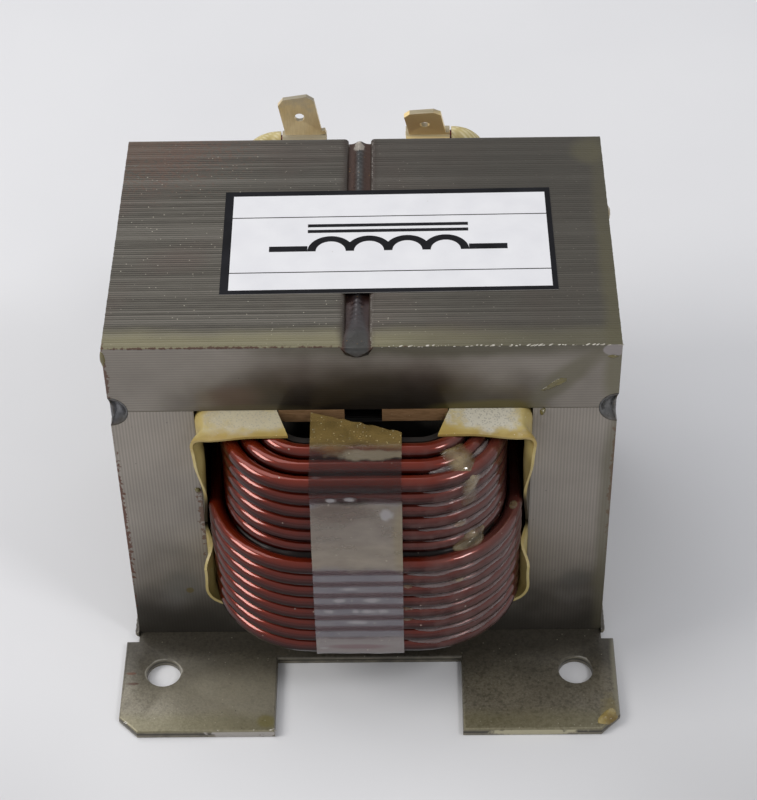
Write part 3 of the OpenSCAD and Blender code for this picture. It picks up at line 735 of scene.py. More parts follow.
# %% Wire layers
WIRE_D = 2.62 * MM
WIRE_R = WIRE_D / 2
LAYERS = 4
LAYER_PITCH = 2.65 * MM
LAYER_DROP = 0.78 * MM
TURN_PITCH = 2.7 * MM
INNER_BEND = 7.3 * MM
FULL_TURNS, OUTER_TURNS = 14, 8
SIDE_ROOM, FRONT_ROOM, FLOOR_ROOM = 2.71 * MM, 7.4 * MM, 0.8 * MM
inner_x = leg_width + SIDE_ROOM
inner_y = face_y + FRONT_ROOM
outer_y = inner_y + (LAYERS - 1) * LAYER_PITCH
corner_x, corner_y = inner_x - INNER_BEND, inner_y - INNER_BEND
first_turn = window_floor + FLOOR_ROOM + WIRE_R
highest_turn = first_turn + (FULL_TURNS - 1) * TURN_PITCH
finish_z = first_turn + (OUTER_TURNS - 1) * WIRE_D
coil_parts = []
for layer in range(LAYERS):
    outermost = layer == LAYERS - 1
    pitch = WIRE_D if outermost else TURN_PITCH
    top_turn = finish_z if outermost else highest_turn - layer * LAYER_DROP
    turns = OUTER_TURNS if outermost else int((top_turn - first_turn) / TURN_PITCH + 0.001) + 1
    grown = layer * LAYER_PITCH
    coil_parts.append(grow("layer_%d" % (layer + 1), mesh_from("layer", [(0, 0, 0)]), turn_tree,
                           Half_Width=inner_x + grown, Half_Depth=inner_y + grown, Bend=INNER_BEND + grown,
                           Turns=turns, Pitch=pitch, Lowest=top_turn - (turns - 1) * pitch, Wire=WIRE_D,
                           Waver=0.25 * MM, Seed=float(layer), Finish=enamel))

# %% Leads, and the finished winding
SLEEVE_R = 1.91 * MM
BARREL_END = 7.6 * MM
left_sleeve, right_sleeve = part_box("left_lead_sleeve"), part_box("right_lead_sleeve")
lead_bend = (outer_y - inner_y) / 2
lead_x = -left_sleeve[0][0] - SLEEVE_R - lead_bend
left_lead_z = (left_sleeve[0][2] + left_sleeve[1][2]) / 2
right_lead_z = right_sleeve[1][2] - SLEEVE_R
# The start leaves the innermost layer in a half-circle. The finish rises from the last turn.
start_path = [(2.5 * MM - corner_x, inner_y, highest_turn + 0.2 * MM)]
start_path += [(x, y, left_lead_z) for x, y in arc((-lead_x, inner_y + lead_bend), lead_bend, 270, 90, 24)]
start_path += [(-BARREL_END, outer_y, left_lead_z)]
finish_path = [(corner_x, outer_y, finish_z)]
finish_path += [(x, outer_y, z) for x, z in arc((lead_x, finish_z + lead_bend), lead_bend, 270, 360, 12)]
finish_path += [(x, outer_y, z) for x, z in arc((lead_x, right_lead_z - lead_bend), lead_bend, 0, 90, 12)]
finish_path += [(BARREL_END, outer_y, right_lead_z)]
for name, path in (("start_lead", start_path), ("finish_lead", finish_path)):
    seed_mesh = path_mesh(name, [[(point, WIRE_R) for point in path]])
    coil_parts.append(grow(name, seed_mesh, bar_tree, Sides=18, Finish=enamel))


def join(name, pieces):
    work = bmesh.new()
    for piece in pieces:
        work.from_mesh(piece.data)
        bpy.data.objects.remove(piece)
    return outward(from_bmesh(name, work))


dress(shade_smooth(join("enamelled_wires", coil_parts), 60), enamel, "winding")

# %% [markdown]
# ## Varnish
# The finished reactor was dipped in varnish and drained. On the right front corner of the coil it
# stayed in the valleys between the turns as a milky filling. On the step above the last turn lies
# a black bar, of dark varnish and of painted shade where the step is deep. Each filling follows the
# turn below it, so it is a bar on a path whose thickness swells and fades. One function makes all
# the kinds of varnish, because they differ only in colour, cover and gloss.

# %% Varnish materials
def clear_varnish(name, thin, thick, alpha, rough, dust, gloss=0.5, cloudy=0.0, film=False):
    """Polyester varnish: glossy, milky grey where it is thin and olive or cream where it is thick."""
    material, tree, shader, place = new_finish(name, Roughness=rough, Alpha=alpha, Coat_Weight=gloss,
                                               Coat_Roughness=rough / 2, Specular_IOR_Level=gloss)
    dots = specks(tree, place, 0.9, 0.16, 0.2, dust)
    colour = painted(tree, thin, (grain(tree, place, 2.2), thick), (dots, "#d9d2be"))
    relief = node(tree, "ShaderNodeBump",
                  {"Strength": 0.2, "Distance": 0.05 * MM, "Height": grain(tree, place, 1.2)})
    link(tree, shader, {"Base Color": colour, "Normal": relief})
    if cloudy:
        cover = grain(tree, place, 1.8, alpha - cloudy, alpha + cloudy)
        if film:
            depth = node(tree, "ShaderNodeAttribute", attribute_name="film")
            cover = node(tree, "ShaderNodeMath", {0: cover, 1: depth.outputs["Fac"]}, operation="MULTIPLY")
        link(tree, shader, {"Alpha": cover})
    return material


# Colours where it is thin and where it is thick, cover, roughness, dust, gloss, and how cloudy it is
milky_varnish = clear_varnish("milky_polyester_varnish", "#5d4f4e", "#8a7f7d", 0.5, 0.14, 0.5, 0.65, 0.15)
cream_varnish = clear_varnish("cream_polyester_varnish", "#78654a", "#b3a17b", 0.45, 0.06, 0.5, 0.8, 0.28)
film_varnish = clear_varnish("filmy_polyester_varnish", "#5c4829", "#9a8760", 0.66, 0.05, 0.4, 0.9, 0.2,
                             film=True)
# Near black: dark varnish in the step, and painted shade where the step is deep
black_varnish_and_shade = clear_varnish("sooty_polyester_varnish", "#0a0605", "#170d0a", 1.0, 0.45, 0.8, 0.12)
olive_varnish = clear_varnish("drained_polyester_varnish", "#4f4729", "#6b6238", 1.0, 0.2, 0.0)
amber_varnish = clear_varnish("amber_polyester_varnish", "#75602c", "#a8965f", 0.85, 0.12, 0.6)

# %% Fillings between the turns
FRONT_SHARE = 0.4  # the part of a run that lies on the straight front of the coil


def round_corner(radius, t, z):
    """A point on the right front corner of the coil, where t goes from FRONT_SHARE to 1."""
    turned = math.radians(-90 + 90 * (t - FRONT_SHARE) / (1 - FRONT_SHARE))
    return Vector((corner_x + radius * math.cos(turned), -corner_y + radius * math.sin(turned), z))


def coil_run(layer, z, out, thick, start, end, side=1, steps=40, lumpy=0.75):
    """A path round a front corner of a layer, from its front (0) to its side (1)."""
    radius = INNER_BEND + layer * LAYER_PITCH + out
    run = []
    for i in range(steps + 1):
        t = start + (end - start) * i / steps
        swell = math.sin(math.pi * i / steps) ** 0.5
        if t < FRONT_SHARE:
            point = Vector((corner_x * t / FRONT_SHARE, -corner_y - radius, z))
        else:
            point = round_corner(radius, t, z)
        point.x *= side
        lumps = 1.0 - lumpy / 2 + lumpy * noise.noise(point * 330 + Vector((layer, 0, 0)))
        run.append((point, max(0.05 * MM, thick * swell * lumps)))
    return run


outer_layer, full_layer = LAYERS - 1, LAYERS - 2
step_z = highest_turn - full_layer * LAYER_DROP
FILL_OUT, FILL_R = 0.55 * MM, 0.82 * MM
fillings = []
for k in range(OUTER_TURNS - 1):
    valley = finish_z - (k + 0.5) * WIRE_D
    fillings.append(coil_run(outer_layer, valley, FILL_OUT, FILL_R, 0.30 + 0.03 * (k % 3), 0.9, lumpy=0.4))
for k in range(5):
    valley = step_z - (k + 0.5) * TURN_PITCH
    fillings.append(coil_run(full_layer, valley, FILL_OUT, FILL_R, 0.42 - 0.03 * (k % 2), 0.88, lumpy=0.4))
fillings.append(coil_run(full_layer, step_z + 1.1 * MM, -1.1 * MM, 0.9 * MM, 0.45, 0.85))
# A black bar in the step on both sides: dark varnish, and painted shade where the step is deep
dark_varnish_and_shade = [coil_run(outer_layer, finish_z + 0.6 * MM, -1.65 * MM, 1.2 * MM, 0.0, 0.8, side, lumpy=0.3)
         for side in (-1, 1)]
for name, runs, finish in (("valley_varnish", fillings, milky_varnish),
                           ("step_varnish", dark_varnish_and_shade, black_varnish_and_shade)):
    bars = grow(name, path_mesh(name, runs), bar_tree, Sides=8, Finish=finish)
    dress(outward(bars), finish)

# %% [markdown]
# ## Drops and lips of varnish
# Where the varnish ran together it hangs in drops. A drop could be a stretched ball, but two that
# touch would show where they cross. Here bars that overlap are melted into one skin by a voxel remesh
# and then smoothed, as a liquid's tension does.

# %% Drops and lips of varnish
BLUNT = 0.5  # how far along a drop is at its fullest


def drop(tail, head, thick):
    """A run of varnish from a thin tail to a full head, in mm."""
    tail, head = Vector(tail) * MM, Vector(head) * MM
    shape = []
    for i in range(13):
        t = i / 12
        past = max(0.0, (t - BLUNT) / (1 - BLUNT))
        full = min(1.0, t / BLUNT, math.sqrt(max(0.02, 1 - past ** 2)))
        shape.append((tail.lerp(head, t), max(0.04, full) * thick * MM))
    return shape


def melted(obj, voxel):
    """Runs overlapping bars together into one smooth skin, as a liquid does."""
    skin = obj.modifiers.new("skin", "REMESH")
    skin.mode = "VOXEL"
    skin.voxel_size = voxel
    skin.use_smooth_shade = True
    tension = obj.modifiers.new("tension", "SMOOTH")
    tension.factor = 0.5
    tension.iterations = 5
    return outward(flatten(obj))


core_drops = [
    drop((27.0, -25.4, 53.0), (27.9, -25.4, 52.6), 0.8),
    drop((-38.9, -25.3, 62.0), (-38.9, -25.3, 66.2), 0.45),
    drop((36.5, -25.45, 64.1), (38.6, -25.45, 64.0), 0.35),
    drop((-13.9, -25.6, 51.4), (-13.2, -25.6, 52.9), 0.6),
    drop((12.8, -25.6, 51.2), (13.4, -25.6, 52.9), 0.6),
    drop((-27.2, -25.5, 36.6), (-26.2, -25.5, 35.8), 0.5),
]
# Layer, height, distance out and thickness in mm, then place and half-length along the run
COIL_DROPS = (
    (2, 40.8, 0.75, 0.7, 0.58, 0.04), (3, 36.2, -1.2, 1.5, 0.62, 0.08), (3, 37.2, -1.7, 1.1, 0.66, 0.06),
    (3, 31.1, 0.6, 0.7, 0.55, 0.04), (3, 31.1, 0.6, 0.7, 0.31, 0.05), (3, 25.8, 0.6, 0.65, 0.30, 0.04),
    (3, 23.2, 0.6, 0.65, 0.30, 0.05), (3, 35.6, 0.0, 0.85, 0.90, 0.05))
coil_drops = [coil_run(layer, z * MM, out * MM, thick * MM, at - reach, at + reach, 1, 16, 0.25)
              for layer, z, out, thick, at, reach in COIL_DROPS]
for name, drops, finish, slot, fineness in (("coil_varnish", coil_drops, cream_varnish, "wire_enamel", 0.18),
                                            ("core_varnish", core_drops, olive_varnish, "core_steel", 0.12)):
    bars = grow(name, path_mesh(name, drops), bar_tree, Sides=16, Finish=finish)
    dress(melted(bars, fineness * MM), finish)

# %% [markdown]
# ## Skin and pools of varnish
# At the upper right of the coil the varnish spread over several turns as one skin, thick in the middle
# and gone at its edges. It is lofted through sections that follow the wires, and an attribute tells the
# finish how thin it is, so that it fades out. The pools on the foot and the yoke are low, uneven lenses,
# because a pool of a thick liquid has a round edge all the way round.

# %% Helpers for lofts and paths
def loft(name, rings, film=()):
    """A closed piece through rings of points, with flat ends. A film value for each point fades it."""
    count = len(rings[0])
    points = [point for ring in rings for point in ring]
    last = (len(rings) - 1) * count
    ends = [tuple(range(count)), tuple(range(last, last + count))]
    faces = grid_faces(len(rings), count, True) + ends
    mesh = mesh_from(name, points, faces=faces)
    if film:
        mesh.attributes.new("film", "FLOAT", "POINT").data.foreach_set("value", film)
    return shade_smooth(outward(new_object(name, mesh)))


def smooth_step(value, low, high):
    t = min(1.0, max(0.0, (value - low) / (high - low)))
    return t * t * (3 - 2 * t)


def along_path(path, distance):
    """The point at a distance along a path, and the direction to its right."""
    for here, there in zip(path, path[1:]):
        length = (there - here).length
        if distance <= length or there is path[-1]:
            way = (there - here).normalized()
            return here + way * min(distance, length), Vector((way.y, -way.x))
        distance -= length


# %% The skin on the coil, and the pools
# Height over the distance out from the innermost layer, in mm: over the turns' tops, then down the front
SKIN_PATH = [Vector(p) for p in ((0.9, 52.75), (2.65, 52.3), (4.4, 51.9), (5.6, 51.35), (6.4, 50.6),
                                 (6.62, 49.6), (6.62, 43.0))]
SKIN_START, SKIN_END, SKIN_MIDDLE = 0.44, 0.86, 0.63  # along a run, as t in round_corner


def skin_ring(t, rows=60):
    """A section of the skin. Its middle stands proud of the wires, and its edges sink between them."""
    total = sum((b - a).length for a, b in zip(SKIN_PATH, SKIN_PATH[1:]))
    ring = []
    for r in list(range(rows + 1)) + list(range(rows, -1, -1)):
        s = r / rows
        near = [along_path(SKIN_PATH, s * total + shift) for shift in (-1.0, -0.5, 0.0, 0.5, 1.0)]
        middle = sum((point for point, _ in near), Vector((0, 0))) / len(near)
        inward = sum((right for _, right in near), Vector((0, 0))).normalized()
        swell = math.exp(-((t - SKIN_MIDDLE) / (0.12 - 0.06 * s)) ** 2) * (1 - 0.3 * s)
        swell *= smooth_step(s, 0.0, 0.08) * smooth_step(1 - s, 0.0, 0.15)
        lump = noise.noise((t * 15, s * 5, 2.0))
        proud = (0.9 + 0.3 * lump) * swell
        height = proud - 0.6 if len(ring) <= rows else -1.0
        place = middle - inward * height
        point = round_corner(INNER_BEND + place.x * MM, t, place.y * MM)
        ring.append((point, smooth_step(proud, 0.42, 0.85)))
    return ring


def puddle(name, centre, reach, axis, turned, taper):
    """A low pool: an uneven lens, turned about an axis by degrees, and slimmer at its -X end."""
    work = bmesh.new()
    bmesh.ops.create_uvsphere(work, u_segments=48, v_segments=24, radius=1.0)
    for vert in work.verts:
        vert.co *= 1 + 0.3 * noise.noise(vert.co * 1.6 + Vector((3, 1, 0)))
        slim = 1 - taper * (1 - vert.co.x) / 2
        vert.co.y *= slim
        vert.co.z *= slim
    place = Matrix.Translation(Vector(centre) * MM) @ Matrix.Rotation(math.radians(turned), 4, axis)
    bmesh.ops.transform(work, matrix=place @ Matrix.Diagonal((*(Vector(reach) * MM), 1.0)), verts=work.verts)
    return shade_smooth(outward(from_bmesh(name, work)))


skin_places = [SKIN_START + (SKIN_END - SKIN_START) * c / 50 for c in range(51)]
skin_rings = [skin_ring(t) for t in skin_places]
skin_film = [film for ring in skin_rings for _, film in ring]
skin = loft("skin_varnish", [[point for point, _ in ring] for ring in skin_rings], skin_film)
dress(skin, film_varnish)
foot_pool = puddle("foot_varnish", (38.9, -44.2, 1.35), (2.0, 1.15, 0.5), "Z", 45, 0.0)
dress(foot_pool, amber_varnish)
front_drop = puddle("yoke_front_varnish", (28.9, -25.4, 58.2), (2.6, 0.5, 0.85), "Y", -33, 0.7)
dress(front_drop, olive_varnish)
side_drop = puddle("yoke_side_varnish", (38.8, 7.5, 64.9), (2.3, 0.7, 0.95), "Z", 90, 0.2)
dress(side_drop, amber_varnish)

# %% [markdown]
# ## Weld beads
# Three kinds of seam hold the steel together: a bead in the groove on top, one in each notch where
# the two stacks meet, and one along each side of the foot plate. A bead freezes in ripples behind
# the arc and leaves a crater where the arc stopped. Each is lofted through cross-sections along
# the stack, with the ripples worked into their size.

# %% Weld material
def weld_metal():
    """Mild steel weld, as welded: blue-grey with rust along its edges, and glossy under the varnish."""
    material, tree, shader, place = new_finish("as_welded_steel", Metallic=0.55, Coat_Weight=0.5,
                                               Coat_Roughness=0.15)
    ragged = grain(tree, place, 1.5)
    parts = node(tree, "ShaderNodeSeparateXYZ", {0: place})
    off_groove = node(tree, "ShaderNodeMath",
                      {0: parts.outputs["X"], 1: GROOVE_X / MM}, operation="SUBTRACT")
    away = node(tree, "ShaderNodeMath", {0: off_groove}, operation="ABSOLUTE")
    width = node(tree, "ShaderNodeMapRange", {0: parts.outputs["Y"], 1: FRONT_Y, 2: -14.0, 3: 1.5, 4: 0.25},
                 interpolation_type="SMOOTHSTEP")
    past = node(tree, "ShaderNodeMath", {0: away, 1: width}, operation="SUBTRACT")
    rusty = node(tree, "ShaderNodeMapRange", {0: past, 1: 0.0, 2: 0.6, 3: 0.0, 4: 0.95})
    on_top = stain(tree, place, 0.5, (-0.7, 0, 66), (9, 28, 3), 1.0, 0.02)
    rust = node(tree, "ShaderNodeMath", {0: rusty, 1: on_top}, operation="MULTIPLY")
    rim = node(tree, "ShaderNodeMath", {0: parts.outputs["Z"], 1: joint_z / MM}, operation="SUBTRACT")
    off_seam = node(tree, "ShaderNodeMath", {0: rim}, operation="ABSOLUTE")
    burnt = node(tree, "ShaderNodeMapRange", {0: off_seam, 1: 1.2, 2: 3.0, 3: 0.0, 4: 0.85})
    at_joint = stain(tree, place, ragged, (0, 0, joint_z / MM), (ALL, ALL, 3.4), 1.0, 0.05)
    tint = node(tree, "ShaderNodeMath", {0: burnt, 1: at_joint}, operation="MULTIPLY")
    colour = painted(tree, "#2b2a29", (grain(tree, place, 1.8), "#504f4d"), (rust, "#452a1b"),
                     (tint, "#43382b"), (specks(tree, place, 0.8, 0.14, 0.3, 0.8), "#a77a3c"),
                     (stain(tree, place, ragged, (-0.7, -17, 66), (3, 6, 3), 0.6, 0.6), "#3d3236"),
                     (stain(tree, place, ragged, (-0.7, -24, 66), (1.6, 2.6, 3), 0.6, 0.6), "#3f3e39"),
                     (stain(tree, place, ragged, (-0.7, -26.2, 64.6), (3, 0.8, 1.2), 0.8, 0.4), "#2b261e"),
                     (stain(tree, place, ragged, (-0.7, 24.4, 66), (0.9, 1.0, 2), 0.8, 0.2), "#b5aca0"),
                     (stain(tree, place, ragged, (-38.4, -25, 53.6), (1.7, 1.6, 1.9), 0.7, 0.5), "#808185"),
                     (stain(tree, place, ragged, (38.2, -25, 53.4), (2.0, 1.6, 2.2), 0.6, 0.5), "#7d7d7c"))
    relief = node(tree, "ShaderNodeBump",
                  {"Strength": 0.5, "Distance": 0.06 * MM, "Height": grain(tree, place, 0.7)})
    link(tree, shader, {"Base Color": colour, "Roughness": grain(tree, place, 1.0, 0.25, 0.45),
                        "Normal": relief})
    return material


weld = weld_metal()

# %% Lofted beads
def ripple(y, across, pitch=1.1):
    """Height of the ripples, -1 to 1: arcs that trail behind the arc's path."""
    return math.sin(2 * math.pi * (y / MM + 0.6 * across * across) / pitch)


BEAD_HALF, BEAD_RISE, BEAD_EDGE = 1.78 * MM, 1.1 * MM, 0.5 * MM
LIP_HALF, LIP_HANG, LIP_OUT = 2.5 * MM, 0.35 * MM, 0.5 * MM
STATIONS = 320
stations = [2 * i / STATIONS - 1 for i in range(STATIONS + 1)]  # from the front, -1, to the rear, 1
groove_floor = top_z - GROOVE_DEPTH


def bead_ring(y):
    """Section of the top bead: it fills the groove, swells to a pool, and hangs over the front as a lip."""
    lip = smooth_step(-y, face_y, face_y + 0.3 * MM)
    nose = max(0.0, (-y - face_y) / LIP_OUT)
    shrink = math.sqrt(max(0.01, 1 - nose * nose))
    bell = 1 - smooth_step(y, -face_y, 6 * MM - face_y)
    half = (BEAD_HALF + (LIP_HALF - BEAD_HALF) * bell) * shrink
    pool = 1 - smooth_step(y, 0.5 * MM - face_y, 10 * MM - face_y)
    rise = BEAD_RISE + 0.45 * MM * pool
    edge = BEAD_EDGE + 0.45 * MM * pool + 0.5 * MM * bell
    ridge = 0.42 + 0.5 * pool
    crown = []
    for k in range(17):
        across = math.cos(math.pi * k / 16)
        wavy = 1 + 0.06 * ripple(y, across) * (1 - pool)
        up = edge + (rise - edge) * wavy * math.exp(-(across / ridge) ** 2)
        crown.append((GROOVE_X + half * across, y, groove_floor + up * shrink))
    bottom = BEAD_HALF * (1 - 0.35 * lip) * shrink
    below = [(GROOVE_X - bottom * math.cos(math.pi * k / 10), y,
              groove_floor - LIP_HANG * lip * shrink * math.sin(math.pi * k / 10)) for k in range(11)]
    return crown + below


lip_rings = [bead_ring(-face_y - LIP_OUT * math.cos(math.pi / 2 * i / 10)) for i in range(10)]
bead_rings = [bead_ring(face_y * t) for t in stations]
dress(loft("top_weld_bead", lip_rings + bead_rings), weld, "top_weld")

# %% Joint and plate seams
JOINT_R, JOINT_DIP = 2.88 * MM, 0.5 * MM
PLATE_R = 0.7 * MM
# Rings of the dished front end: size against the full section, and depth behind the front in mm
CRATER = [(0.06, 1.05), (0.3, 0.95), (0.52, 0.7), (0.74, 0.25), (0.88, 0.03)]


def joint_ring(side, y, scale=1.0):
    """Section of a joint seam: round in the notch, and dished with ripples on the outside."""
    outline = arc((0, 0), JOINT_R, 90, 270, 14)
    for k in range(1, 10):
        t = 2 * k / 10 - 1
        dish = JOINT_DIP * (1 - t * t) * (1 + 0.4 * ripple(y, t))
        outline.append((-dish, JOINT_R * t))
    middle = -JOINT_R / 2
    return [(side * (half_width + middle + (x - middle) * scale), y, joint_z + z * scale)
            for x, z in outline]


def plate_ring(side, y):
    """Section of a plate seam: a half-round that ends in a round nose."""
    past = max(0.0, abs(y) - face_y)
    radius = max(0.03 * MM, math.sqrt(max(0.0, PLATE_R ** 2 - past ** 2)))
    half_round = arc((0, 0), radius * (1 + 0.03 * ripple(y, 0.0) - 0.03), -90, 90, 10)
    return [(side * (half_width + x), y, plate_top + z) for x, z in half_round]


for side, which in ((-1, "left"), (1, "right")):
    crater = [joint_ring(side, depth * MM - face_y, scale) for scale, depth in CRATER]
    along = [joint_ring(side, face_y * t) for t in stations]
    dress(loft(which + "_joint_bead", crater + along), weld, which + "_joint_weld")
    reach = face_y + PLATE_R
    seam = [plate_ring(side, reach * math.sin(math.pi / 2 * t)) for t in stations]
    dress(loft(which + "_plate_bead", seam), plate_finish, which + "_plate_weld")

# %% [markdown]
# ## Paper liners
# Sheets of insulating paper line the two windows between steel and wire. Each is folded once, stands
# out at the front and the rear, and is stiff with varnish: cream, amber along the fold, and worn
# white on top. A sheet is a grid of points along its folded path, given its thickness at the end,
# so the free ends can sag and curl as paper does.

# %% Liner material
def liner_paper():
    """Varnished aramid paper: satin, with clouds of amber where the varnish soaked in, and painted shade
    inside the windows.
    """
    material, tree, shader, place = new_finish("varnished_aramid_paper", Roughness=0.45, Coat_Weight=0.35,
                                               Coat_Roughness=0.2)
    ragged = grain(tree, place, 2.0)
    is_top = node(tree, "ShaderNodeMapRange", {0: facing(tree, "Z"), 1: 0.8, 2: 0.95})
    worn_left = stain(tree, place, ragged, (-18, -27, 53.4), (6.5, 3, 1.2), 0.6, 0.5)
    worn_right = stain(tree, place, ragged, (19, -27, 53.4), (5, 3.2, 1.2), 0.9, 0.4)
    worn = node(tree, "ShaderNodeMath", {0: worn_left, 1: worn_right}, operation="MAXIMUM")
    whitish = node(tree, "ShaderNodeMath", {0: worn, 1: is_top}, operation="MULTIPLY")
    # The grit on the worn paper is drawn about twice as coarse as it is, so that it shows
    grit = node(tree, "ShaderNodeMath",
                {0: specks(tree, place, 0.34, 0.16, 0.75, 0.9), 1: whitish}, operation="MULTIPLY")
    colour = painted(tree, "#b09a58", (grain(tree, place, 5.0), "#cbbd84"),
                     (grain(tree, place, 9.0, 0.0, 0.4), "#a0823a"),
                     (stain(tree, place, ragged, (0, -31.2, 53), (ALL, 1.3, 2.5), 0.7, 0.5), "#9c8240"),
                     (whitish, "#c9c5b8"), (grit, "#9b978d"),
                     (specks(tree, place, 0.6, 0.1, 0.3, 0.7), "#e2ddc8"),
                     (stain(tree, place, ragged, (0, -30, 17), (ALL, 12, 8), 0.4, 0.6), "#94854a"),
                     # Painted shade: the paper inside the windows, deep behind the coil, is painted near
                     # black
                     (stain(tree, place, 0.5, (0, 0, 34), (ALL, 28.4, 17.5), 0.95, 0.04), "#1c150d"))
    relief = node(tree, "ShaderNodeBump",
                  {"Strength": 0.5, "Distance": 0.05 * MM, "Height": grain(tree, place, 0.9)})
    link(tree, shader, {"Base Color": colour, "Normal": relief})
    return material


paper = liner_paper()

# %% Liner sheets
LINER_T, LINER_REACH, FOLD_R = 0.45 * MM, 5.6 * MM, 2.0 * MM
LINER_SPLIT = 13.5 * MM
LINER_ROWS = 72


def folded_row(y, upper):
    """Middle of a liner at one place along the stack: from its flat part, round the fold, to its end."""
    out = max(0.0, abs(y) - face_y) / LINER_REACH
    half = LINER_T / 2
    bend = FOLD_R - half + (0.6 * MM if upper else 3.0 * MM) * out
    if upper:
        start = leg_width + half - out * LINER_REACH / 3
        end = window_floor + LINER_SPLIT + LINER_T
        end += (joint_z - leg_width / 2 - end) * out
        flat_z, way = joint_z - half, -1
    else:
        start = leg_width + half
        end = window_floor + LINER_SPLIT - 0.8 * LINER_REACH * max(0.0, out - 0.2) / 0.8
        flat_z, way = window_floor + half, 1
    fold_x = window_x - half - bend
    row = [(start + (fold_x - start) * k / 9, flat_z) for k in range(9)]
    row += [(x, flat_z + way * (bend + z)) for x, z in arc((fold_x, 0), bend, -90, 0, 8)]
    wall_top = row[-1][1]
    row += [(window_x - half, wall_top + (end - wall_top) * k / 14) for k in range(1, 15)]
    shaped = []
    for x, z in row:
        sag = 0.9 * MM * out ** 2 * smooth_step(x, 16 * MM, 24 * MM) if upper else 0.0
        wave = math.sin((z - window_floor) / MM * 0.33 + (0.6 if upper else 2.2))
        flare = (1.2 * smooth_step(out, 0.5, 1.0) - 0.8 * smooth_step(out, 0.0, 0.5) + 0.3 * wave * out) * MM
        wall = smooth_step(x, fold_x, window_x - half)
        shaped.append((x + flare * wall, z - sag * (1 - wall)))
    return shaped


def liner(name, side, upper):
    """Both free ends are sampled closely, because only they are shaped."""
    reach = face_y + LINER_REACH
    rows = []
    for i in range(LINER_ROWS + 1):
        t = 2 * i / LINER_ROWS - 1
        y = reach * math.copysign(abs(t) ** 0.6, t)
        rows.append([(side * x, y + 0.15 * MM * noise.noise((x * 90, z * 90, side)), z)
                     for x, z in folded_row(y, upper)])
    faces = grid_faces(len(rows), len(rows[0]), False)
    sheet = new_object(name + "_sheet", mesh_from(name, [p for row in rows for p in row], faces=faces))
    wall = sheet.modifiers.new("paper", "SOLIDIFY")
    wall.thickness = LINER_T
    wall.offset = 0.0
    dress(shade_smooth(outward(flatten(sheet))), paper, name)


for side, which in ((-1, "left"), (1, "right")):
    liner(which + "_upper_liner", side, True)
    liner(which + "_lower_liner", side, False)

# %% [markdown]
# ## Board spacers and former
# Two strips of pressed board keep the air gap of the centre leg, and a tube of the same board
# carries the coil. The board is brown and fibrous, with pale dust stuck in the varnish. The tube
# is painted near black, for dark varnish and the shade deep behind the coil.

# %% Helpers for pieces that keep the CAD shape
def paint(node_name, material):
    """Gives a CAD node that stays its material."""
    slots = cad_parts[node_name].data.materials
    slots.clear()
    slots.append(material)


def eased_copy(node_name, width, material):
    """Stands for a CAD node: the same shape with its sharp edges rounded."""
    copy = new_object(node_name + "_eased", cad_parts[node_name].data.copy())
    work = bmesh.new()
    work.from_mesh(copy.data)
    bmesh.ops.remove_doubles(work, verts=work.verts, dist=0.001 * MM)
    work.to_mesh(copy.data)
    work.free()
    bevel = copy.modifiers.new("eased edges", "BEVEL")
    bevel.width = width
    bevel.segments = 3
    bevel.harden_normals = True
    bevel.limit_method = "ANGLE"
    bevel.angle_limit = math.radians(35)
    shade_smooth(copy, 35)
    dress(flatten(copy), material, node_name)


# %% Board
def pressed_board(name, dark, light, dust):
    """Pressed board soaked with varnish: brown, matt and fibrous, with pale dust."""
    material, tree, shader, place = new_finish(name, Roughness=0.55, Coat_Weight=0.25, Coat_Roughness=0.25)
    fibres = grain(tree, place, 1.2, 0.0, 1.0, (1, 6, 6))
    colour = painted(tree, dark, (fibres, light), (specks(tree, place, 0.7, 0.1, 0.3, 0.6), dust))
    relief = node(tree, "ShaderNodeBump", {"Strength": 0.5, "Distance": 0.04 * MM, "Height": fibres})
    link(tree, shader, {"Base Color": colour, "Normal": relief})
    return material


spacer_board = pressed_board("pressed_board", "#7f603f", "#9e7a57", "#cdb792")
for name in ("left_gap_spacer", "right_gap_spacer"):
    eased_copy(name, 0.2 * MM, spacer_board)
# The former is painted near black: dark varnish, and painted shade deep behind the coil
paint("coil_former", pressed_board("sooty_pressed_board", "#0f0b08", "#1c140e", "#3a322a"))

# %% [markdown]
# ## Tape
# A strip of clear tape holds the last turns down. It is see-through where it sticks to the wires,
# milky where it bridges the step between two layers, yellow with varnish and gritty at its torn upper
# end, and full of small bubbles. The strip is a grid along the path over the coil, with shallow dips between
# the wires, and its see-through places are masks on the height above the foot plate.

# %% Tape material
# Places of the larger bubbles, their half-length, and the half-height of one that isn't flat, in mm
BUBBLES = ((-2.4, 31.1, 1.5), (-4.2, 28.5, 1.1), (1.1, 28.5, 1.5), (-5.7, 25.9, 0.8), (-1.6, 25.9, 0.6),
           (0.6, 25.9, 1.4), (2.7, 25.9, 0.9), (-1.4, 23.3, 1.5), (3.4, 45.4, 0.95, 1.0), (-4.9, 48.2, 0.8),
           (-2.2, 48.4, 0.9))


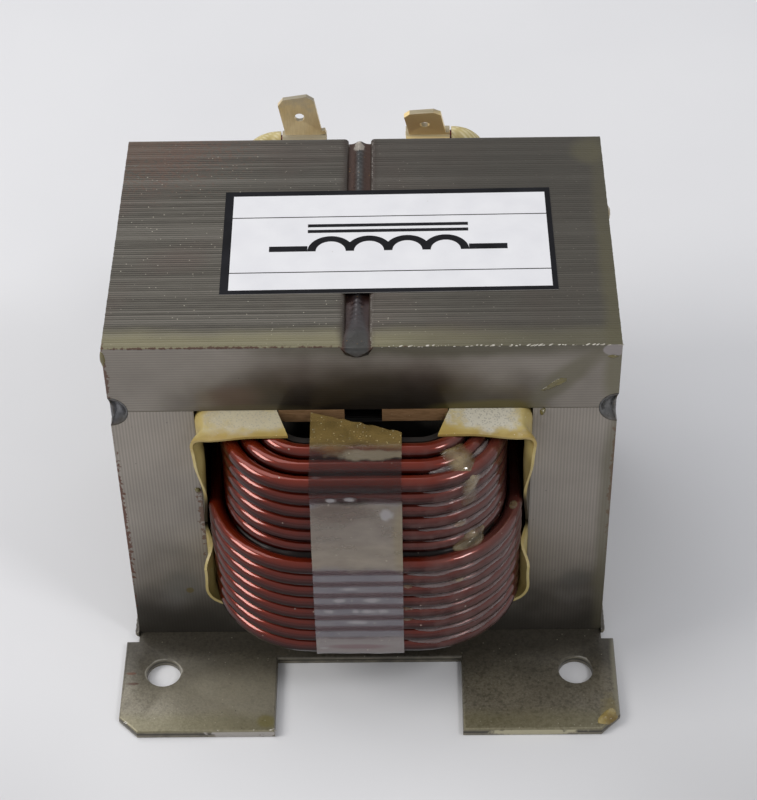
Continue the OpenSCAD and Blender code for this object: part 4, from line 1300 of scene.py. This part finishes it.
def clear_tape():
    """Polyester film with adhesive: clear where it sticks, milky where it doesn't, with a soft shine."""
    material, tree, shader, place = new_finish("clear_polyester_tape", Roughness=0.28, Coat_Weight=0.4,
                                               Coat_Roughness=0.12)
    ragged = grain(tree, place, 2.0)
    gentle = grain(tree, place, 5.0, 0.35, 0.65)
    parts = node(tree, "ShaderNodeSeparateXYZ", {0: place})
    # The wires of the outermost layer press the tape flat at every 2.62 mm, and air lies between them
    phase = node(tree, "ShaderNodeMath", {0: parts.outputs["Z"], 1: finish_z / MM}, operation="SUBTRACT")
    turned = node(tree, "ShaderNodeMath", {0: phase, 1: 2 * math.pi * MM / WIRE_D}, operation="MULTIPLY")
    wave = node(tree, "ShaderNodeMath", {0: turned}, operation="COSINE")
    stuck = node(tree, "ShaderNodeMapRange", {0: wave, 1: -0.6, 2: 0.7, 3: 0.7, 4: 0.3})
    bridge = stain(tree, place, gentle, (-1, -41, 41.4), (ALL, 5, 6.2), 1.0, 0.1)
    flap = stain(tree, place, gentle, (-1, -27.5, 53), (ALL, 5.8, 4), 1.0, 0.25)
    # The upper part, over the top turns under the yoke, is painted dark: varnish under the tape, and painted
    # shade
    upper = stain(tree, place, gentle, (-1, -36.5, 51.5), (ALL, 6.5, 4.0), 1.0, 0.15)
    wrinkle = stain(tree, place, ragged, (1, -34.6, 53), (5.5, 0.9, 3), 0.8, 0.3)
    hem = stain(tree, place, gentle, (-1, -42, 17.7), (ALL, 4, 2.0), 0.9, 0.3)
    over_wire = node(tree, "ShaderNodeMapRange", {0: wave, 1: -0.2, 2: 0.8, 3: 0.0, 4: 0.65})
    grit = node(tree, "ShaderNodeMath",
                {0: specks(tree, place, 0.5, 0.12, 0.45, 0.9), 1: flap}, operation="MULTIPLY")
    stretched = node(tree, "ShaderNodeMapping", {0: place, "Scale": (0.35, 1.0, 1.0)})
    bubbles = specks(tree, stretched, 2.62, 0.4, 0.15, 0.6)
    for x, z, half, *tall in BUBBLES:
        bubble = stain(tree, place, ragged, (x, -41, z), (half, 4, *(tall or [0.45])), 0.85, 0.4)
        bubbles = node(tree, "ShaderNodeMath", {0: bubbles, 1: bubble}, operation="MAXIMUM")
    milk = grain(tree, place, 2.0, 0.5, 0.76, (0.4, 1, 1))
    alpha = stuck
    olive = grain(tree, place, 2.5, 0.3, 0.7)
    for mask, level in ((bridge, milk), (upper, 0.2), (flap, olive), (wrinkle, 0.6), (hem, 0.7),
                        (bubbles, 0.8)):
        alpha = node(tree, "ShaderNodeMix", {0: mask, 2: alpha, 3: level}, data_type="FLOAT")
    colour = painted(tree, "#6f6b72", (grain(tree, place, 4.0, 0.0, 0.6), "#858083"), (over_wire, "#6b464a"),
                     (bridge, "#847a70"),
                     (stain(tree, place, gentle, (-1, -41, 38), (ALL, 5, 2.2), 0.6, 0.5), "#978c7d"),
                     (stain(tree, place, gentle, (-4, -41, 46), (5, 5, 1.8), 0.6, 0.5), "#5c4a40"),
                     (stain(tree, place, gentle, (5.6, -41, 41), (1.2, 5, 6), 0.6, 0.4), "#8d8064"),
                     (upper, "#240c08"), (flap, "#877141"), (grit, "#d6cdab"), (wrinkle, "#8a7f68"),
                     (hem, "#8e8683"),
                     (stain(tree, place, gentle, (-1.5, -42, 17.5), (4.5, 4, 0.5), 0.7, 0.4), "#77595c"),
                     (bubbles, "#9a9697"),
                     (specks(tree, place, 1.1, 0.13, 0.3, 0.8), "#cfc9bb"))
    relief = node(tree, "ShaderNodeBump",
                  {"Strength": 0.4, "Distance": 0.08 * MM, "Height": grain(tree, place, 3.0)})
    link(tree, shader, {"Base Color": colour, "Alpha": alpha, "Normal": relief})
    return material


# %% Tape strip
TAPE_T, TAPE_CLEAR, TAPE_TEAR = 0.12 * MM, 0.1 * MM, 4.4 * MM
TEAR_ROUGH, DIP, WRINKLE, SWAY = 0.35 * MM, 0.05 * MM, 0.09 * MM, 0.12 * MM
tape_low, tape_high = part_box("coil_tape")
round_r = WIRE_R + TAPE_CLEAR
slope = round_r * math.sin(math.radians(45))
step_y = outer_y - LAYER_PITCH
tape_path = [Vector(p) for p in (
    (-face_y, joint_z - AIR_GAP / 10), (-inner_y, highest_turn + round_r),
    (-step_y - round_r, step_z + slope), (-step_y - round_r, step_z - TURN_PITCH),
    (-outer_y - round_r, finish_z + slope), (-outer_y - round_r, first_turn - slope),
    (-outer_y - slope, first_turn - round_r), (-step_y, first_turn - round_r))]


def tape_strip(columns=22, rows=150):
    total = sum((b - a).length for a, b in zip(tape_path, tape_path[1:]))
    points = []
    for c in range(columns + 1):
        u = c / columns
        x = tape_low[0] + (tape_high[0] - tape_low[0]) * u
        torn = TAPE_TEAR * u + TEAR_ROUGH * noise.noise((x * 900, 0, 0)) + 0.4 * MM
        for r in range(rows + 1):
            distance = torn + (total - torn) * r / rows
            near = [along_path(tape_path, distance + shift * MM)[0] for shift in (-0.5, 0, 0.5)]
            centre = sum(near, Vector((0, 0))) / len(near)
            out = along_path(tape_path, distance)[1]
            dip = DIP * math.cos(2 * math.pi * (centre.y - finish_z) / WIRE_D) * (centre.y < finish_z)
            wrinkle = WRINKLE * noise.noise((x * 260, distance * 160, 3.0))
            offset = 0.14 * MM - TAPE_T / 2 + max(-0.08 * MM, dip + wrinkle)
            sway = SWAY * noise.noise((0.0, distance * 110, 7.0))
            points.append((x + sway, centre.x + out.x * offset, centre.y + out.y * offset))
    faces = grid_faces(columns + 1, rows + 1, False)
    strip = new_object("tape_strip", mesh_from("tape_strip", points, faces=faces))
    film = strip.modifiers.new("film", "SOLIDIFY")
    film.thickness = TAPE_T
    film.offset = 0.0
    return shade_smooth(outward(flatten(strip)))


dress(tape_strip(), clear_tape(), "coil_tape")

# %% [markdown]
# ## Sleeving and tab terminals
# The ends of the wire carry glass sleeving and brass tabs. The sleeving is a braid, cream and dull.
# The tabs are stamped from brass sheet, tarnished to a khaki tone and grey at the worn tips. Their
# solids have the right shape, so only the tabs' edges are eased.

# %% Sleeving and brass
THREAD_PITCH = 0.7  # mm


def glass_sleeving():
    """Braided glass: two sets of threads that cross at 0.7 mm, drawn as bands on the slant."""
    material, tree, shader, place = new_finish("varnished_glass_braid", Roughness=0.55)
    bands = []
    for turned in ((0.5, 0.8, 0.8), (-0.5, -0.8, -0.8)):
        slanted = node(tree, "ShaderNodeMapping", {0: place, "Rotation": turned})
        bands.append(node(tree, "ShaderNodeTexWave", {"Vector": slanted, "Scale": ONE_BAND / THREAD_PITCH},
                          bands_direction="X"))
    braid = node(tree, "ShaderNodeMath", {0: bands[0], 1: bands[1]}, operation="MULTIPLY")
    colour = painted(tree, "#a8955a", (grain(tree, place, 3.0), "#cbbd8a"), (braid, "#d8cda4"))
    relief = node(tree, "ShaderNodeBump", {"Strength": 0.6, "Distance": 0.1 * MM, "Height": braid})
    link(tree, shader, {"Base Color": colour, "Normal": relief})
    return material


def tab_brass():
    """Stamped brass sheet, tarnished: a soft khaki shine with fine scratches along the tab."""
    material, tree, shader, place = new_finish("tarnished_brass_sheet", Metallic=0.05)
    ragged = grain(tree, place, 1.5)
    scratches = grain(tree, place, 1.0, 0.0, 0.35, (5, 5, 0.5))
    cut_edge = node(tree, "ShaderNodeMapRange", {0: facing(tree, "Z"), 1: 0.55, 2: 0.8, 4: 0.85})
    colour = painted(tree, "#e6cd98", (grain(tree, place, 4.0), "#efdcb0"), (scratches, "#c0a873"),
                     (stain(tree, place, ragged, (0, 40, 66.5), (ALL, ALL, 3.5), 0.6, 0.5), "#b5aea0"),
                     # Painted light: the right tab leans away from the lamps, so it is painted brighter
                     (stain(tree, place, ragged, (10.7, 40, 60), (6, ALL, 9), 0.9, 0.5), "#f7dc9c"),
                     (cut_edge, "#8b8473"), (specks(tree, place, 1.3, 0.2, 0.15, 0.6), "#6b5a32"))
    relief = node(tree, "ShaderNodeBump", {"Strength": 0.3, "Distance": 0.03 * MM, "Height": scratches})
    link(tree, shader, {"Base Color": colour, "Roughness": grain(tree, place, 2.0, 0.32, 0.48),
                        "Normal": relief})
    return material


braid_finish, brass = glass_sleeving(), tab_brass()
for name in ("left_lead_sleeve", "right_lead_sleeve"):
    paint(name, braid_finish)
for name in ("left_terminal", "right_terminal"):
    eased_copy(name, 0.12 * MM, brass)

# %% [markdown]
# ## Label
# A paper label lies on the top yoke: white fields in a black printed border, parted by two thin
# rules. The middle field carries the drawing sign for a coil with an iron core, four half-rounds
# under two lines, which says what the part is in any language. The print is thin layers that lie
# on each other, so its edges stay crisp at any distance.

# %% Label layers
def printed_paper(name, base, cloud, speck):
    """Coated paper, printed: matt and even, with a few specks of dust."""
    material, tree, shader, place = new_finish(name, Roughness=0.6, Specular_IOR_Level=0.1)
    is_side = node(tree, "ShaderNodeMapRange", {0: facing(tree, "Z"), 1: 0.3, 2: 0.6, 3: 0.8, 4: 0.0})
    colour = painted(tree, base, (grain(tree, place, 6.0), cloud),
                     (specks(tree, place, 2.4, 0.14, 0.3, 0.5), speck), (is_side, "#b9b6b2"))
    relief = node(tree, "ShaderNodeBump",
                  {"Strength": 0.2, "Distance": 0.02 * MM, "Height": grain(tree, place, 0.8)})
    link(tree, shader, {"Base Color": colour, "Normal": relief})
    return material


def slabs(name, outlines, low, high):
    """Flat pieces of print between two heights, turned with the label."""
    work = bmesh.new()
    for outline in outlines:
        corners = [work.verts.new(place_on_label(x, y, low)) for x, y in outline]
        face = work.faces.new(corners)
        grown = bmesh.ops.extrude_face_region(work, geom=[face])
        for vert in (v for v in grown["geom"] if isinstance(v, bmesh.types.BMVert)):
            vert.co.z = high
    bmesh.ops.recalc_face_normals(work, faces=work.faces)
    bmesh.ops.triangulate(work, faces=work.faces)
    return from_bmesh(name, work)


LABEL_X, LABEL_Y, LABEL_TURN = 4.0 * MM, -0.75 * MM, math.radians(0.5)
label_base, label_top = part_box("label")[0][2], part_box("label")[1][2]
PRINT_T = 0.02 * MM


def place_on_label(x, y, z):
    """Millimetres on the label to its place on the yoke."""
    cos, sin = math.cos(LABEL_TURN), math.sin(LABEL_TURN)
    return (LABEL_X + (x * cos - y * sin) * MM, LABEL_Y + (x * sin + y * cos) * MM, z)


def rectangle(left, right, near, far):
    return [(left, near), (right, near), (right, far), (left, far)]


# %% The coil sign and the finished label
LOOP_R, PEN, LEAD, SIGN_Y = 3.0, 1.3, 6.0, -2.6  # mm on the label


def coil_sign():
    """Four half-rounds in a row as one outline, with their leads, under two core lines."""
    centres = [((2 * k - 3) * LOOP_R, SIGN_Y) for k in range(4)]
    meet = math.degrees(math.acos(LOOP_R / (LOOP_R + PEN / 2)))
    outline = []
    for k, centre in enumerate(centres):
        outline += arc(centre, LOOP_R + PEN / 2, 180 - meet if k else 180, meet if k < 3 else 0, 24)
    for centre in reversed(centres):
        outline += arc(centre, LOOP_R - PEN / 2, 0, 180, 24)
    end = 4 * LOOP_R + PEN / 2
    leads = [rectangle(*sorted((side * end, side * (end + LEAD))), SIGN_Y, SIGN_Y + PEN) for side in (-1, 1)]
    return [outline] + leads + [rectangle(-end, end, y, y + 0.75) for y in (1.9, 3.3)]


black = printed_paper("black_print_on_paper", "#121215", "#1f1f23", "#55534f")
white = printed_paper("coated_white_paper", "#dadade", "#e2e2e5", "#b5b2ab")
FIELD_ROWS = ((5.99, 11.35), (-7.43, 5.77), (-11.6, -7.65))
fields = [rectangle(-24.65, 25.16, low, high) for low, high in FIELD_ROWS]
field_z, print_z = label_top - 2 * PRINT_T, label_top - PRINT_T
border = slabs("label_border", [rectangle(-26, 26, -12.5, 12.5)], label_base, field_z)
dress(border, black, "label")
dress(slabs("label_fields", fields, field_z, print_z), white)
dress(slabs("label_coil_sign", coil_sign(), print_z, label_top), black)

# %% [markdown]
# ## Flakes
# Along the sharp front edges the varnish has chipped into pale flakes. A geometry tree strews small
# uneven flakes along each edge, with fixed chances, so they are the same in every run.

# %% Flakes of varnish
def flake_tree():
    tree, given = new_tree("flakes along an edge", Spacing="Float", Size="Float", Spread="Vector",
                           Seed="Int")
    path = node(tree, "GeometryNodeMeshToCurve", {"Mesh": given["Geometry"]})
    spots = node(tree, "GeometryNodeResampleCurve",
                 {"Curve": path, "Length": given["Spacing"]}, mode="LENGTH")
    back = node(tree, "ShaderNodeVectorMath", {0: given["Spread"], "Scale": -1.0}, operation="SCALE")
    strewn = node(tree, "FunctionNodeRandomValue",
                  {0: back, 1: given["Spread"], 8: given["Seed"]}, data_type="FLOAT_VECTOR")
    placed = node(tree, "GeometryNodeSetPosition", {"Geometry": spots, "Offset": strewn})
    flake = node(tree, "GeometryNodeMeshIcoSphere", {"Radius": given["Size"], "Subdivisions": 2})
    shape = node(tree, "FunctionNodeRandomValue",
                 {0: (0.3, 0.25, 0.12), 1: (1.6, 0.6, 0.3), 8: given["Seed"]}, data_type="FLOAT_VECTOR")
    turned = node(tree, "FunctionNodeRandomValue",
                  {0: (-0.2, -0.2, -0.5), 1: (0.2, 0.2, 0.5), 8: given["Seed"]}, data_type="FLOAT_VECTOR")
    copies = node(tree, "GeometryNodeInstanceOnPoints",
                  {"Points": placed, "Instance": flake, "Rotation": turned, "Scale": shape})
    real = node(tree, "GeometryNodeRealizeInstances", {"Geometry": copies})
    rough = node(tree, "ShaderNodeTexNoise", {"Scale": 2500.0, "Detail": 1.0})
    centred = node(tree, "ShaderNodeVectorMath",
                   {0: rough.outputs["Color"], 1: (0.5, 0.5, 0.5)}, operation="SUBTRACT")
    push = node(tree, "ShaderNodeVectorMath", {0: centred, "Scale": 0.15 * MM}, operation="SCALE")
    return end_tree(tree, given, node(tree, "GeometryNodeSetPosition", {"Geometry": real, "Offset": push}))


def flaked_varnish():
    """Crazed varnish flakes scatter light, so they look chalky and pale."""
    material, tree, shader, place = new_finish("crazed_varnish_flakes", Roughness=0.6)
    link(tree, shader, {"Base Color": painted(tree, "#8f897a", (grain(tree, place, 1.0), "#cfcac0"))})
    return material


chalky = flaked_varnish()
strew = flake_tree()
# Name, both ends of the edge, spacing, size and spread of the flakes in mm, and a seed for their chances
EDGES = (("yoke_flakes", (3, -25.4, 66.42), (38.5, -25.4, 66.42), 0.55, 0.29, (0.5, 0.12, 0.06), 4),
         ("left_foot_flakes", (-26, -46.28, 1.1), (-15.6, -46.28, 1.1), 0.38, 0.36, (0.3, 0.08, 0.3), 5),
         ("left_corner_flakes", (-40.7, -43.6, 1.2), (-39.6, -44.7, 1.2), 0.35, 0.28, (0.15, 0.15, 0.2), 7),
         ("right_foot_flakes", (21, -46.4, 1.0), (33, -46.4, 1.0), 0.6, 0.3, (0.3, 0.08, 0.3), 6))
for name, start, end, spacing, size, spread, seed in EDGES:
    edge = mesh_from(name, [Vector(start) * MM, Vector(end) * MM], edges=[(0, 1)])
    flakes = grow(name, edge, strew, Spacing=spacing * MM, Size=size * MM, Spread=Vector(spread) * MM,
                  Seed=seed, Finish=chalky)
    dress(outward(flakes), chalky)
